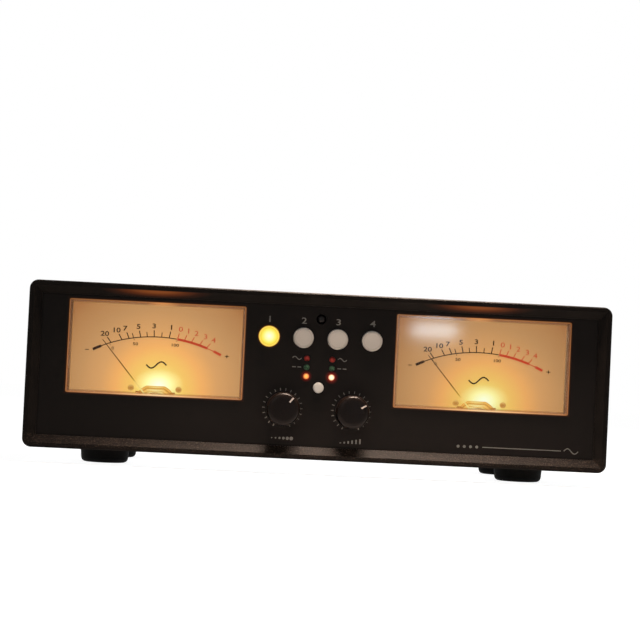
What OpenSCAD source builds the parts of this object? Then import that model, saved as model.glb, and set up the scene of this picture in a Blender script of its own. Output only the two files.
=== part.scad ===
// Desktop audio switcher with two moving-coil level meters.
// Millimetres. +X is to the right, +Y goes back from the front, +Z is up.
// The origin lies on the table, under the middle of the whole object.

/* [Case] */
// Width of the front frame
frame_w = 298; // [290:1:340]
// Height of the front frame
frame_h = 85; // [85:1:110]
// Depth of the front frame, skirt included
frame_depth = 14; // [12:0.5:20]
// Radius of the front frame's outer corners
corner_r = 4.5; // [3:0.5:6]
// Chamfer on the front frame's outer edge
edge_chamfer = 0.6; // [0.3:0.1:1]
// Flat rim round the front
rim_w = 2.5; // [2:0.1:3.5]
// Width of the bevel that leads in to the panel
bevel_w = 3.9; // [3.5:0.1:5]
// Depth of the bevel that leads in to the panel
bevel_depth = 3.2; // [2:0.1:4]
// Thickness of the lip that the panel lies against
lip_t = 0.8; // [0.6:0.1:1.5]
// Thickness of the skirt that covers the joint with the case
skirt_t = 1.8; // [1.2:0.1:2.2]
// Depth of the whole case, from the frame's front to the rear panel
case_depth = 150; // [130:1:220]
// Thickness of the sheet metal
sheet_t = 1.2; // [0.8:0.1:1.6]
// Bend radius of the sheet metal, on the outside
bend_r = 2; // [1.6:0.1:3]
// Height of the tray's turned-up side flanges
tray_flange_h = 12; // [9:0.5:16]
// Diameter of a foot at its top
foot_d = 26; // [18:0.5:32]
// Clearance under the front frame
foot_h = 8; // [6:0.5:16]
// Distance from the side of the frame to a foot's centre
foot_inset_x = 39; // [30:1:60]
// Distance from the front of the frame to a front foot's centre
foot_inset_y = 46; // [34:1:60]

/* [Front panel] */
// Thickness of the front panel
panel_t = 2; // [1.5:0.1:3]
// How far the panel reaches behind the frame's lip, on each side
panel_overlap = 1.2; // [0.8:0.1:1.5]

/* [Meters] */
// Distance from the side of the frame to a meter's window
window_inset = 20.05; // [19:0.05:24]
// Width of the middle of the panel, between the two windows
middle_w = 77.1; // [75:0.1:84]
// Distance from the top of the frame to the top of a window
window_drop = 8.4; // [8.2:0.1:9]
// Distance from the bottom of the frame to the bottom of a window
window_rise = 28.5; // [28:0.1:34]
// How far a lens stands out of the panel
lens_proud = 0.5; // [0:0.1:1.5]
// Wall of a meter's clear cover
lens_wall = 1.5; // [1:0.1:2]
// Distance from a lens's front to its dial
dial_setback = 8.4; // [7.5:0.1:11]
// Thickness of a dial plate
dial_t = 0.6; // [0.4:0.1:1]
// Height of a pivot under its window's lower edge
pivot_drop = 5; // [4:0.1:6]
// Distance from a window's top to the tip of a pointer that stands straight up
pointer_margin = 10.1; // [8:0.1:14]
// Angle of a resting pointer, clockwise from straight up
pointer_rest = -40.2; // [-44:0.1:-35]
// Radius of a meter's core magnet
core_r = 6; // [5:0.1:6.5]
// Length of a meter's core magnet
core_len = 9.5; // [8:0.1:12]

/* [Controls] */
// Diameter of a selector button
button_d = 10.4; // [8:0.1:12]
// Distance between selector buttons
button_spacing = 17.6; // [16:0.1:18]
// Distance from the top of the frame to the selector buttons' centres
button_drop = 23; // [22:0.1:25]
// How far a selector button stands out of the panel
button_proud = 1.8; // [1.3:0.1:3]
// Travel of a button
button_travel = 1.2; // [0.6:0.1:1.5]
// Diameter of the small round button
small_button_d = 5.2; // [4:0.1:6]
// Distance from the top of the frame to the small button's centre
small_button_drop = 48.2; // [47.5:0.1:50]
// Diameter of an indicator lamp
led_d = 3; // [2.5:0.1:3.4]
// Distance from the middle of the panel to a column of indicator lamps
led_x = 6.5; // [5.5:0.1:8]
// Distance from the top of the frame to the uppermost indicator lamps
led_drop = 33.4; // [33:0.1:34]
// Distance between indicator lamps in a column
led_spacing = 4.6; // [4.4:0.1:4.8]
// Diameter of the remote sensor's dome
sensor_d = 5; // [4:0.1:5.5]
// Distance from the top of the frame to the remote sensor
sensor_drop = 13.1; // [12.5:0.1:14]
// Diameter of a control knob
knob_d = 17; // [14:0.1:18]
// Height of a control knob
knob_h = 14; // [11:0.5:18]
// Gap between a knob and the panel
knob_gap = 0.8; // [0.5:0.1:1.5]
// Distance from the middle of the panel to a knob
knob_x = 17.6; // [17:0.1:19]
// Distance from the top of the frame to the knobs' centres
knob_drop = 59.7; // [58.5:0.1:60.5]
// Angle that the left knob points to, clockwise from straight up
left_knob_at = 40; // [-150:1:150]
// Angle that the right knob points to, clockwise from straight up
right_knob_at = 61; // [-150:1:150]
// Diameter of a control's shaft
shaft_d = 6; // [5:0.1:6.4]

/* [Rear] */
// Distance from the side of the frame to the first column of signal sockets
jack_inset = 44; // [36:1:50]
// Distance between columns of signal sockets
jack_spacing = 20; // [16:0.5:22]
// Distance between the two sockets of a column
jack_rise = 14; // [12:0.5:18]
// Diameter of a signal socket's barrel
jack_d = 8.3; // [8:0.1:9]
// Length of a signal socket's barrel behind the rear panel
jack_length = 8.5; // [7:0.5:12]
// Height of the lower signal sockets over the main board
jack_height = 15; // [10:0.5:20]
// Distance from the side of the frame to the power switch's centre
switch_inset = 44; // [34:1:50]
// Width of the power switch's rocker
rocker_w = 10; // [8:0.5:12]
// Height of the power switch's rocker
rocker_h = 16; // [14:0.5:18]
// Angle between the rocker's two positions
rocker_swing = 20; // [12:1:24]

/* [Hidden] */
$fn = 64;

left = -1;
right = 1;
sides = [left, right];
cut = 1;                 // how far a cutting shape runs past the faces it cuts
slip = 0.2;              // clearance between pieces that slip into each other
running = 0.05;          // clearance of a shaft in its bore
seat = 0.1;              // gap left between a piece and what carries it

// Depths behind the frame's front face
panel_front = bevel_depth + lip_t;
panel_back = panel_front + panel_t;
lens_front = panel_front - lens_proud;
cover_flange_t = 2;
case_front = panel_back + cover_flange_t;
dial_front = lens_front + dial_setback;
dial_back = dial_front + dial_t;
sweep_depth = dial_front - 3;            // where the pointer sweeps
board_gap = 8;                           // space between the panel and the control board
board_t = 1.6;
board_front = panel_back + board_gap;
board_back = board_front + board_t;
front_reach = panel_front - knob_gap - knob_h;
back_reach = case_depth + jack_length;
front_y = -(front_reach + back_reach) / 2;

// Widths and heights of the case
opening_w = frame_w - 2 * (rim_w + bevel_w);
opening_h = frame_h - 2 * (rim_w + bevel_w);
panel_w = opening_w + 2 * panel_overlap;
panel_h = opening_h + 2 * panel_overlap;
box_w = frame_w - 2 * (skirt_t + slip);  // sheet-metal case, inside the frame's skirt
box_low = skirt_t + slip;
box_top = frame_h - box_low;
floor_z = box_low + sheet_t;
tray_w = box_w - 2 * (sheet_t + slip);
mid_z = frame_h / 2;
rear_t = 1.5;
rear_front = case_depth - rear_t;
rear_w = box_w - 2 * (sheet_t + slip);
rear_h = box_top - box_low - sheet_t - 2 * slip;
screw_r = 1.5;
screw_hole_r = screw_r + slip;
screw_head_r = 2.8;
screw_head_h = 1.6;
frame_screw_r = 1.1;
frame_screw_head_r = 2.2;
frame_screw_depth = frame_depth - 3.5;
frame_screw_xs = [for (share = [-0.42, -0.14, 0.14, 0.42]) share * frame_w];
frame_screw_zs = [frame_h * 0.28, frame_h * 0.72];

// Meters
window_w = (frame_w - middle_w) / 2 - window_inset;
window_h = frame_h - window_drop - window_rise;
window_z = window_rise + window_h / 2;
meter_x = (middle_w + window_w) / 2;     // distance of a meter's centre from the middle
lens_w = window_w - 2 * slip;
lens_h = window_h - 2 * slip;
pivot_z = window_rise - pivot_drop;
pointer_len = window_h + pivot_drop - pointer_margin;
gap_r = core_r + 2.8;                    // inner radius of the yoke ring
yoke_r = gap_r + 3.2;
meter_top = window_z + window_h / 2 + 1.5;
meter_low = pivot_z - yoke_r - 2.5;
meter_w = lens_w + 5;
meter_h = meter_top - meter_low;
meter_mid = (meter_top + meter_low) / 2;
case_wall = 1.5;
core_front = dial_back + 3;
core_back = core_front + core_len;
coil_t = 1.2;                            // thickness of the coil's winding
coil_front = core_front - 0.5 - coil_t;
coil_back = core_back + 0.5 + coil_t;
bridge_t = 0.8;
bridge_front = sweep_depth + 0.3;
bridge_back = bridge_front + bridge_t;
rear_bridge_front = coil_back + 0.8;
yoke_back = rear_bridge_front + bridge_t;
case_back = yoke_back + case_wall;
spindle_r = 0.5;
shade_r = 10.3;
shade_top = 8.9;
shade_low = 4.6;
shade_wall = 1;
dial_screw_x = 12.25;
dial_screw_rise = 8.8;
lamp_rise = yoke_r + 4.5;
lamp_r = 2.6;
stud_r = 1.45;
clip_w = 6.4;
clip_h = 8;
clip_t = 1.2;
clip_grip = 1.8;                         // how far a clip reaches over a meter's flange
clip_x = meter_w / 2 + clip_w / 2;
clip_heights = [for (share = [0.2, 0.5]) meter_low + share * meter_h];

// Controls
button_z = frame_h - button_drop;
small_button_z = frame_h - small_button_drop;
led_z = frame_h - led_drop;
sensor_z = frame_h - sensor_drop;
knob_z = frame_h - knob_drop;
button_places = [for (i = [0:3]) (i - 1.5) * button_spacing];
switch_h = 3.2;                          // height of a switch over the control board
stem_r = 1.6;
collar_t = 1;
bush_r = 3.5;
bush_nut_r = 5.5;
bush_nut_t = 2;
pot_r = 8;
board_w = middle_w - 11;
board_low = floor_z + 5;
board_top = frame_h - 8;
spacer_places = [
    [-button_spacing, frame_h - 12.4], [button_spacing, frame_h - 12.4],
    [-board_w / 2 + 4, board_low + 4], [board_w / 2 - 4, board_low + 4]
];

// Rear and main board
main_board_low = floor_z + 8;
main_board_top = main_board_low + board_t;
main_board_back = rear_front - sheet_t - 2 * slip;
jack_columns = [for (i = [0:3]) jack_inset - frame_w / 2 + i * jack_spacing];
output_x = jack_columns[3] + jack_spacing * 1.5;
jack_xs = concat(jack_columns, [output_x]);
jack_low = main_board_top + jack_height;
barrel_root = 5;                         // how deep a barrel sits in its housing
switch_x = frame_w / 2 - switch_inset;
switch_z = mid_z;
switch_wall = 2;
power_jack_r = 4;
power_jack_rise = 6.5;
power_jack_x = switch_x - 55;
power_jack_z = main_board_top + power_jack_rise;
main_board_left = jack_columns[0] - 13;
main_board_right = power_jack_x + 28;
main_board_w = main_board_right - main_board_left;
main_board_d = 58;
main_post_xs = [main_board_left + 5, main_board_right - 5];
main_post_ys = [main_board_back - main_board_d + 5, main_board_back - 0.4 * main_board_d];

// Heights count from the underside of the front frame, depths from its front face.
module placed() translate([0, front_y, foot_h]) children();

// A flat outline in X and Z, carried from one depth to another.
module slab(front, back) translate([0, back, 0]) rotate([90, 0, 0]) linear_extrude(back - front) children();

// A round bar along Y.
module rod(r, front, back) translate([0, front, 0]) rotate([-90, 0, 0]) cylinder(r = r, h = back - front);

// A turned piece with its axis along Y, from points of radius and depth.
module turned(points) rotate([-90, 0, 0]) rotate_extrude() polygon(points);

module rounded_rect(w, h, r) {
    square([w - 2 * r, h], center = true);
    square([w, h - 2 * r], center = true);
    for (x = sides, z = sides) translate([x * (w / 2 - r), z * (h / 2 - r)]) circle(r);
}

// A block with rounded corners and a chamfer round its front face.
module chamfered_block(w, h, front, back, r, c) {
    rotate([90, 0, 90]) linear_extrude(w - 2 * r, center = true)
        polygon([[front, c - h / 2], [front + c, -h / 2], [back, -h / 2],
                 [back, h / 2], [front + c, h / 2], [front, h / 2 - c]]);
    linear_extrude(h - 2 * r, center = true)
        polygon([[c - w / 2, front], [w / 2 - c, front], [w / 2, front + c],
                 [w / 2, back], [-w / 2, back], [-w / 2, front + c]]);
    for (x = sides, z = sides) translate([x * (w / 2 - r), 0, z * (h / 2 - r)])
        turned([[0, front], [r - c, front], [r, front + c], [r, back], [0, back]]);
}

// The funnel that the frame's four mitred bevels enclose.
module bevel_funnel() {
    spread = bevel_w / bevel_depth;      // widening for each millimetre forward
    mouth_w = opening_w + 2 * spread * (bevel_depth + cut);
    mouth_h = opening_h + 2 * spread * (bevel_depth + cut);
    intersection() {
        linear_extrude(frame_h * 2, center = true)
            polygon([[-mouth_w / 2, -cut], [mouth_w / 2, -cut],
                     [opening_w / 2, bevel_depth], [-opening_w / 2, bevel_depth]]);
        rotate([90, 0, 90]) linear_extrude(frame_w * 2, center = true)
            polygon([[-cut, -mouth_h / 2], [bevel_depth, -opening_h / 2],
                     [bevel_depth, opening_h / 2], [-cut, mouth_h / 2]]);
    }
}

// Puts its children, which point up from z = 0, at each screw that holds the frame's skirt.
module at_frame_screws() {
    for (x = frame_screw_xs) translate([x, frame_screw_depth, 0]) children();
    for (s = sides, z = frame_screw_zs) translate([s * frame_w / 2, frame_screw_depth, z])
        rotate([0, -s * 90, 0]) children();
}

// A countersunk screw or, with a margin, the hole that it sits in.
module countersunk(length, margin) {
    head_h = frame_screw_head_r - frame_screw_r;
    translate([0, 0, -margin])
        cylinder(r1 = frame_screw_head_r + margin, r2 = frame_screw_r + margin, h = head_h);
    translate([0, 0, -margin]) cylinder(r = frame_screw_r + margin, h = length + margin);
}

module front_frame() color([0.11, 0.105, 0.1]) placed() difference() {
    translate([0, 0, mid_z]) chamfered_block(frame_w, frame_h, 0, frame_depth, corner_r, edge_chamfer);
    translate([0, 0, mid_z]) {
        bevel_funnel();
        slab(bevel_depth - 0.01, panel_front + 0.01) square([opening_w, opening_h], center = true);
        slab(panel_front, panel_back + 0.01) square([panel_w + 2 * slip, panel_h + 2 * slip], center = true);
        slab(panel_back, frame_depth + cut) {
            rounded_rect(frame_w - 2 * skirt_t, frame_h - 2 * skirt_t, bend_r);
            translate([skirt_t - frame_w / 2, skirt_t - mid_z]) square([frame_w - 2 * skirt_t, mid_z]);
        }
    }
    at_frame_screws() countersunk(skirt_t + cut, seat);
}

module front_panel() color([0.07, 0.068, 0.065]) placed() {
    difference() {
        translate([0, 0, mid_z]) slab(panel_front, panel_back) square([panel_w, panel_h], center = true);
        for (s = sides) translate([s * meter_x, 0, window_z])
            slab(panel_front - cut, panel_back + cut) rounded_rect(window_w, window_h, 1 + slip);
        for (x = button_places) translate([x, 0, button_z]) panel_hole(button_d / 2 + slip);
        translate([0, 0, small_button_z]) panel_hole(small_button_d / 2 + slip);
        translate([0, 0, sensor_z]) panel_hole(sensor_d / 2 + slip);
        for (s = sides, row = [0:2]) translate([s * led_x, 0, led_z - row * led_spacing])
            panel_hole(led_d / 2 + seat);
        for (s = sides) translate([s * knob_x, 0, knob_z]) panel_hole(bush_r + seat);
    }
    for (s = sides, side = sides, z = clip_heights)
        translate([s * meter_x + side * clip_x, 0, z]) rod(stud_r, panel_back, panel_back + 6);
}

module panel_hole(r) rod(r, panel_front - cut, panel_back + cut);

tray_front = panel_back;
tray_lip_h = meter_low - box_low - 2 * slip;
rear_lip_h = 9;
side_screw_inset = 12;
side_screw_depths = [frame_depth + side_screw_inset, case_depth - 2 * side_screw_inset];
roof_screw_x = box_w * 0.4;
roof_flange_d = 11;
rear_screw_places = [-box_w * 0.44, box_w * 0.44];
rear_screw_z = box_low + rear_lip_h / 2;

module chassis_tray() color([0.62, 0.63, 0.64]) placed() difference() {
    union() {
        slab(tray_front, rear_front - seat) difference() {
            tray_outline(0);
            tray_outline(sheet_t);
        }
        translate([-tray_w / 2 + bend_r, tray_front, box_low])
            cube([tray_w - 2 * bend_r, sheet_t, tray_lip_h]);
        translate([-tray_w / 2 + bend_r, rear_front - seat - sheet_t, box_low])
            cube([tray_w - 2 * bend_r, sheet_t, rear_lip_h]);
    }
    for (x = foot_xs, y = foot_ys) translate([x, y, box_low - cut])
        cylinder(r = screw_hole_r, h = sheet_t + 2 * cut);
    for (x = rear_screw_places) translate([x, 0, rear_screw_z])
        rod(screw_hole_r, rear_front - sheet_t - cut, rear_front + cut);
    at_frame_screws() cylinder(r = frame_screw_r + seat, h = box_low + sheet_t + cut);
    side_screw_holes();
}

// The tray's section: a floor with turned-up sides.
module tray_outline(inset) translate([0, box_low + inset]) {
    r = bend_r - inset;
    w = tray_w - 2 * inset;
    h = tray_flange_h + (inset > 0 ? cut : 0) - inset;
    translate([-w / 2, r]) square([w, h - r]);
    translate([-w / 2 + r, 0]) square([w - 2 * r, h]);
    for (x = sides) translate([x * (w / 2 - r), r]) circle(r);
}

module top_cover() color([0.075, 0.073, 0.07]) placed() difference() {
    union() {
        slab(panel_back, case_depth) difference() {
            cover_outline(0);
            cover_outline(sheet_t);
        }
        translate([-box_w / 2 + bend_r, panel_back, box_top - cover_lip_h])
            cube([box_w - 2 * bend_r, sheet_t, cover_lip_h]);
    }
    at_frame_screws() cylinder(r = frame_screw_r + seat, h = box_low + sheet_t + cut);
    for (s = sides) translate([s * roof_screw_x, rear_front - roof_flange_d / 2, box_top - sheet_t - cut])
        cylinder(r = screw_hole_r, h = sheet_t + 2 * cut);
    side_screw_holes();
}

cover_lip_h = box_top - window_z - window_h / 2 - 1.5 - 2 * slip;

// The cover's section: a roof with turned-down sides.
module cover_outline(inset) {
    r = bend_r - inset;
    w = box_w - 2 * inset;
    low = box_low - (inset > 0 ? cut : 0);
    high = box_top - inset;
    translate([-w / 2, low]) square([w, high - r - low]);
    translate([-w / 2 + r, low]) square([w - 2 * r, high - low]);
    for (x = sides) translate([x * (w / 2 - r), high - r]) circle(r);
}

module side_screw_holes() for (y = side_screw_depths)
    translate([-box_w, y, box_low + tray_flange_h / 2]) rotate([0, 90, 0])
        cylinder(r = screw_hole_r, h = 2 * box_w);

module rear_panel() color([0.07, 0.068, 0.065]) placed() difference() {
    union() {
        translate([0, 0, box_low + slip + rear_h / 2]) slab(rear_front, case_depth)
            rounded_rect(rear_w, rear_h, bend_r - sheet_t);
        translate([-rear_w / 2 + bend_r, rear_front - roof_flange_d, box_top - sheet_t - slip - rear_t])
            cube([rear_w - 2 * bend_r, roof_flange_d + seat, rear_t]);
    }
    for (x = jack_xs, rise = [0, jack_rise]) translate([x, 0, jack_low + rise])
        rear_hole(jack_d / 2 + slip);
    translate([power_jack_x, 0, power_jack_z]) rear_hole(power_jack_r);
    translate([switch_x, 0, switch_z]) slab(rear_front - cut, case_depth + cut)
        square([rocker_w + 2 * (switch_wall + slip), rocker_h + 2 * (switch_wall + slip)], center = true);
    for (x = rear_screw_places) translate([x, 0, rear_screw_z]) rear_hole(screw_hole_r);
    for (s = sides)
        translate([s * roof_screw_x, rear_front - roof_flange_d / 2, box_top - sheet_t - rear_t - cut])
            cylinder(r = screw_hole_r, h = rear_t + 2 * cut);
}

module rear_hole(r) rod(r, rear_front - cut, case_depth + cut);

foot_xs = [-frame_w / 2 + foot_inset_x, frame_w / 2 - foot_inset_x];
foot_ys = [foot_inset_y, case_depth - foot_inset_y + frame_depth];
foot_recess_r = 4.5;
foot_recess_h = 5;

module foot(x, y) color([0.05, 0.05, 0.05]) placed() translate([x, y, -foot_h]) rotate_extrude() {
    r = foot_d / 2;
    h = foot_h + box_low;
    round_r = 1.8;
    low_r = r - 0.8;
    polygon([[screw_hole_r, foot_recess_h], [foot_recess_r, foot_recess_h], [foot_recess_r, 0],
             [low_r - round_r, 0], [low_r - round_r, round_r], [low_r, round_r],
             [r, h - 1], [r, h], [screw_hole_r, h]]);
    intersection() {
        translate([low_r - round_r, round_r]) circle(round_r);
        square([r, round_r]);
    }
}

module foot_screws() color([0.7, 0.7, 0.72]) placed() for (x = foot_xs, y = foot_ys)
    translate([x, y, foot_recess_h - foot_h]) {
        translate([0, 0, -screw_head_h]) cylinder(r = screw_head_r, h = screw_head_h);
        cylinder(r = screw_r, h = foot_h + box_low - foot_recess_h + sheet_t + 2);
    }

// A pan-head screw along Z, its head on top of z = 0.
module screw(r, length, head_r, head_h) {
    translate([0, 0, -length]) cylinder(r = r, h = length);
    difference() {
        cylinder(r = head_r, h = head_h);
        for (turn = [0, 90]) rotate([0, 0, turn]) translate([-head_r * 0.55, -0.3, head_h / 2])
            cube([head_r * 1.1, 0.6, head_h]);
    }
}

module case_screws() color([0.3, 0.3, 0.31]) placed() {
    for (s = sides, y = side_screw_depths) translate([s * box_w / 2, y, box_low + tray_flange_h / 2])
        rotate([0, s * 90, 0]) screw(screw_r, 5, screw_head_r, screw_head_h);
    for (s = sides) translate([s * roof_screw_x, rear_front - roof_flange_d / 2, box_top])
        screw(screw_r, 5, screw_head_r, screw_head_h);
    for (x = rear_screw_places) translate([x, case_depth, rear_screw_z])
        rotate([-90, 0, 0]) screw(screw_r, 5, screw_head_r, screw_head_h);
    at_frame_screws() countersunk(box_low + sheet_t + 1.5, 0);
}

// Clips that hold a meter's flange against the panel, one over each stud.
module meter_clips() color([0.6, 0.6, 0.62]) placed()
    for (s = sides, side = sides, z = clip_heights)
        translate([s * meter_x + side * clip_x, 0, z]) rotate([0, side > 0 ? 0 : 180, 0]) difference() {
            union() {
                slab(case_front, case_front + clip_t) translate([-clip_w / 2 - clip_grip, -clip_h / 2])
                    square([clip_w + clip_grip, clip_h]);
                slab(panel_back, case_front + seat) translate([clip_w / 2 - clip_t, -clip_h / 2])
                    square([clip_t, clip_h]);
            }
            rod(stud_r + slip, case_front - cut, case_front + clip_t + cut);
        }

module hex_nut(r, bore_r, front, back) difference() {
    translate([0, front, 0]) rotate([-90, 0, 0]) cylinder(r = r, h = back - front, $fn = 6);
    rod(bore_r, front - cut, back + cut);
}

module panel_nuts() color([0.72, 0.72, 0.7]) placed() {
    for (s = sides, side = sides, z = clip_heights)
        translate([s * meter_x + side * clip_x, 0, z])
            hex_nut(3.1, stud_r + running, case_front + clip_t, case_front + clip_t + 2.2);
    for (s = sides) translate([s * knob_x, 0, knob_z])
        hex_nut(bush_nut_r, bush_r + running, panel_front - bush_nut_t, panel_front);
}

module at_meter(s) placed() translate([s * meter_x, 0, 0]) children();
module at_pivot(s) at_meter(s) translate([0, 0, pivot_z]) children();

// Clear cover: a lens box through the window, on a flange behind the panel.
module meter_cover(s) color([0.9, 0.9, 0.92, 0.35]) at_meter(s) difference() {
    union() {
        translate([0, 0, window_z]) chamfered_block(lens_w, lens_h, lens_front, panel_back + 0.5, 1, 0.4);
        translate([0, 0, meter_mid]) slab(panel_back, case_front) square([meter_w, meter_h], center = true);
    }
    translate([0, 0, window_z]) slab(lens_front + lens_wall, case_front + cut)
        square([lens_w - 2 * lens_wall, lens_h - 2 * lens_wall], center = true);
}

case_w = meter_w - 4;
case_h = meter_h - 1;
dial_w = case_w - 2 * case_wall - 0.6;
dial_top = meter_mid + case_h / 2 - case_wall - 0.3;
dial_low = pivot_z - 3;
dial_posts = [[-dial_screw_x, dial_screw_rise], [dial_screw_x, dial_screw_rise]];
corner_posts = [for (s = sides) [s * (dial_w / 2 - 3), dial_top - pivot_z - 3]];

// Rear case of a meter: a tub with bosses for the dial and a seat for the movement.
module meter_case(s) color([0.88, 0.85, 0.78]) at_meter(s) difference() {
    union() {
        difference() {
            translate([0, 0, meter_mid]) slab(case_front, case_back) rounded_rect(case_w, case_h, 2);
            translate([0, 0, meter_mid]) slab(case_front - cut, case_back - case_wall)
                square([case_w - 2 * case_wall, case_h - 2 * case_wall], center = true);
        }
        for (p = concat(dial_posts, corner_posts)) translate([p[0], 0, pivot_z + p[1]])
            rod(2, dial_back, case_back - case_wall / 2);
    }
    for (p = dial_posts) translate([p[0], 0, pivot_z + p[1]]) rod(0.85, dial_back - cut, dial_back + 5);
    translate([0, 0, pivot_z + lamp_rise]) rod(lamp_r + slip, case_back - case_wall - cut, case_back + cut);
    for (x = terminal_xs) translate([x, 0, pivot_z - terminal_drop])
        rod(terminal_r + slip, case_back - 2 * cut - case_wall, case_back + cut);
}

// The outline of the arched shade in front of the lamp, grown by a margin.
module shade_outline(margin, low = shade_low) intersection() {
    circle(shade_r + margin);
    translate([-shade_r * 2, low]) square([shade_r * 4, shade_top + margin - low]);
}

module dial_plate(s) color([0.96, 0.86, 0.68]) at_pivot(s) difference() {
    slab(dial_front, dial_back)
        translate([-dial_w / 2, dial_low - pivot_z]) square([dial_w, dial_top - dial_low]);
    slab(dial_front - cut, dial_back + cut) {
        shade_outline(slip);
        translate([-shade_r - slip, -pivot_z]) square([2 * (shade_r + slip), pivot_z + shade_low + seat]);
    }
    for (p = dial_posts) translate([p[0], 0, p[1]]) rod(1.1, dial_front - cut, dial_back + cut);
}

module lamp_shade(s) color([1, 0.87, 0.6, 0.6]) at_pivot(s) {
    slab(bridge_front + 0.9, dial_back + 0.5) difference() {
        shade_outline(0);
        shade_outline(-shade_wall, shade_low - cut);
    }
    slab(dial_back, dial_back + 1) difference() {
        shade_outline(1.4);
        shade_outline(-shade_wall, shade_low - cut);
    }
}

// Soft-iron ring round the coil, seated on the floor of the case.
module yoke_ring(s) color([0.5, 0.5, 0.52]) at_pivot(s) difference() {
    rod(yoke_r, core_front, yoke_back);
    rod(gap_r, core_front - cut, yoke_back + cut);
}

module core_magnets() color([0.35, 0.35, 0.37]) for (s = sides) at_pivot(s)
    rod(core_r, core_front, core_back);

frame_leg_x = core_r + running;
frame_leg_t = 1.2;
frame_half_z = 2;

// Brass loop that holds the core and carries both pivots.
module movement_frame(s) color([0.8, 0.65, 0.3]) at_pivot(s) difference() {
    reach = frame_leg_x + frame_leg_t;
    translate([-reach, bridge_front, -frame_half_z])
        cube([2 * reach, yoke_back - bridge_front, 2 * frame_half_z]);
    translate([-frame_leg_x, bridge_back, -frame_half_z - cut])
        cube([2 * frame_leg_x, rear_bridge_front - bridge_back, 2 * frame_half_z + 2 * cut]);
    rod(spindle_r - 0.1 + running, bridge_front - cut, yoke_back + cut);
}

// Wound coil that turns round the core, with its two pivots. It turns with its pointer.
module moving_coil(s) color([0.72, 0.4, 0.2]) at_pivot(s) rotate([0, pointer_rest, 0]) {
    inner = core_r + 0.5;
    outer = inner + coil_t + 0.3;
    translate([-1.5, 0, 0]) rotate([90, 0, 90]) linear_extrude(3) difference() {
        translate([coil_front, -outer]) square([coil_back - coil_front, 2 * outer]);
        translate([coil_front + coil_t, -inner]) square([coil_back - coil_front - 2 * coil_t, 2 * inner]);
    }
    rod(spindle_r, bridge_back + 0.15, coil_front + 0.1);
    rod(spindle_r - 0.1, bridge_front + 0.1, bridge_back + 0.3);
    rod(spindle_r, coil_back - 0.1, rear_bridge_front - 0.15);
    rod(spindle_r - 0.1, rear_bridge_front - 0.3, yoke_back - 0.1);
}

pointer_hub_front = bridge_back + 0.6;
pointer_hub_back = pointer_hub_front + 1;
crank_r = 6.6;

// Pointer: a hub on the coil's front pivot, a cranked arm, a fine blade and three balance weights.
module pointer(s) color([0.08, 0.06, 0.05]) at_pivot(s) rotate([0, pointer_rest, 0]) {
    difference() {
        rod(1.6, pointer_hub_front, pointer_hub_back);
        rod(spindle_r, pointer_hub_front - cut, pointer_hub_back + cut);
    }
    slab(pointer_hub_front, pointer_hub_front + 0.4)
        translate([-0.35, 1.4]) square([0.7, crank_r - 1.4]);
    slab(sweep_depth, pointer_hub_front + 0.4)
        translate([-0.35, crank_r - 0.4]) square([0.7, 0.4]);
    slab(sweep_depth, sweep_depth + 0.4)
        polygon([[-0.35, crank_r - 0.4], [0.35, crank_r - 0.4], [0.16, pointer_len], [-0.16, pointer_len]]);
    for (turn = [90, 180, 270]) rotate([0, turn, 0]) {
        slab(pointer_hub_front, pointer_hub_front + 0.4) translate([-0.25, 1.4]) square([0.5, 2.6]);
        translate([0, 0, 3.9]) rod(0.7, pointer_hub_front - 0.2, pointer_hub_front + 0.6);
    }
}

spring_turns = 3;
spring_r = 1.3;
spring_spacing = 0.9;
spring_t = 0.25;
spring_step = 15;

// Flat spiral: each point lies further out in proportion to the angle it has turned.
function spiral(offset) = [
    for (a = [0 : spring_step : 360 * spring_turns])
        (spring_r + offset + spring_spacing * a / 360) * [-cos(a), sin(a)]
];
function reversed(list) = [for (i = [len(list) - 1 : -1 : 0]) list[i]];

// Fine spiral springs that bring the pointers back. The outer end is fixed to the brass frame.
module hairsprings() color([0.75, 0.6, 0.25]) for (s = sides) at_pivot(s) {
    front = pointer_hub_back + 0.5;
    slab(front, front + 0.5) {
        polygon(concat(spiral(0), reversed(spiral(spring_t))));
        translate([-frame_leg_x, -0.2]) square([frame_leg_x - spring_r - spring_spacing * spring_turns, 0.4]);
    }
}

lamp_front = dial_back + 3.4;
module meter_lamps() color([1, 0.9, 0.65, 0.6]) for (s = sides) at_pivot(s) translate([0, 0, lamp_rise]) {
    turned([[0, lamp_front], [lamp_r * 0.7, lamp_front + 0.5], [lamp_r, lamp_front + 2],
            [lamp_r, case_back + 1.5], [0, case_back + 1.5]]);
    difference() {
        rod(lamp_r + 1.4, case_back, case_back + 1);
        rod(lamp_r, case_back - cut, case_back + 1 + cut);
    }
}

module dial_screws() color([0.75, 0.72, 0.66]) for (s = sides, p = dial_posts) at_pivot(s)
    translate([p[0], dial_front, p[1]]) rotate([90, 0, 0]) screw(0.8, dial_t + 3.5, 1.6, 0.9);

terminal_xs = [-8, 8];
terminal_r = 1.4;
terminal_drop = 4;
terminal_reach = 7;
module meter_terminals() color([0.82, 0.68, 0.35]) for (s = sides, x = terminal_xs) at_pivot(s)
    translate([x, 0, -terminal_drop]) {
        rod(terminal_r, case_back - case_wall, case_back + terminal_reach);
        hex_nut(3, terminal_r, case_back, case_back + 2);
    }

module control_board() color([0.1, 0.32, 0.18]) placed() difference() {
    translate([-board_w / 2, board_front, board_low]) cube([board_w, board_t, board_top - board_low]);
    for (p = spacer_places) translate([p[0], 0, p[1]]) rod(1.7, board_front - cut, board_back + cut);
}

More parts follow.
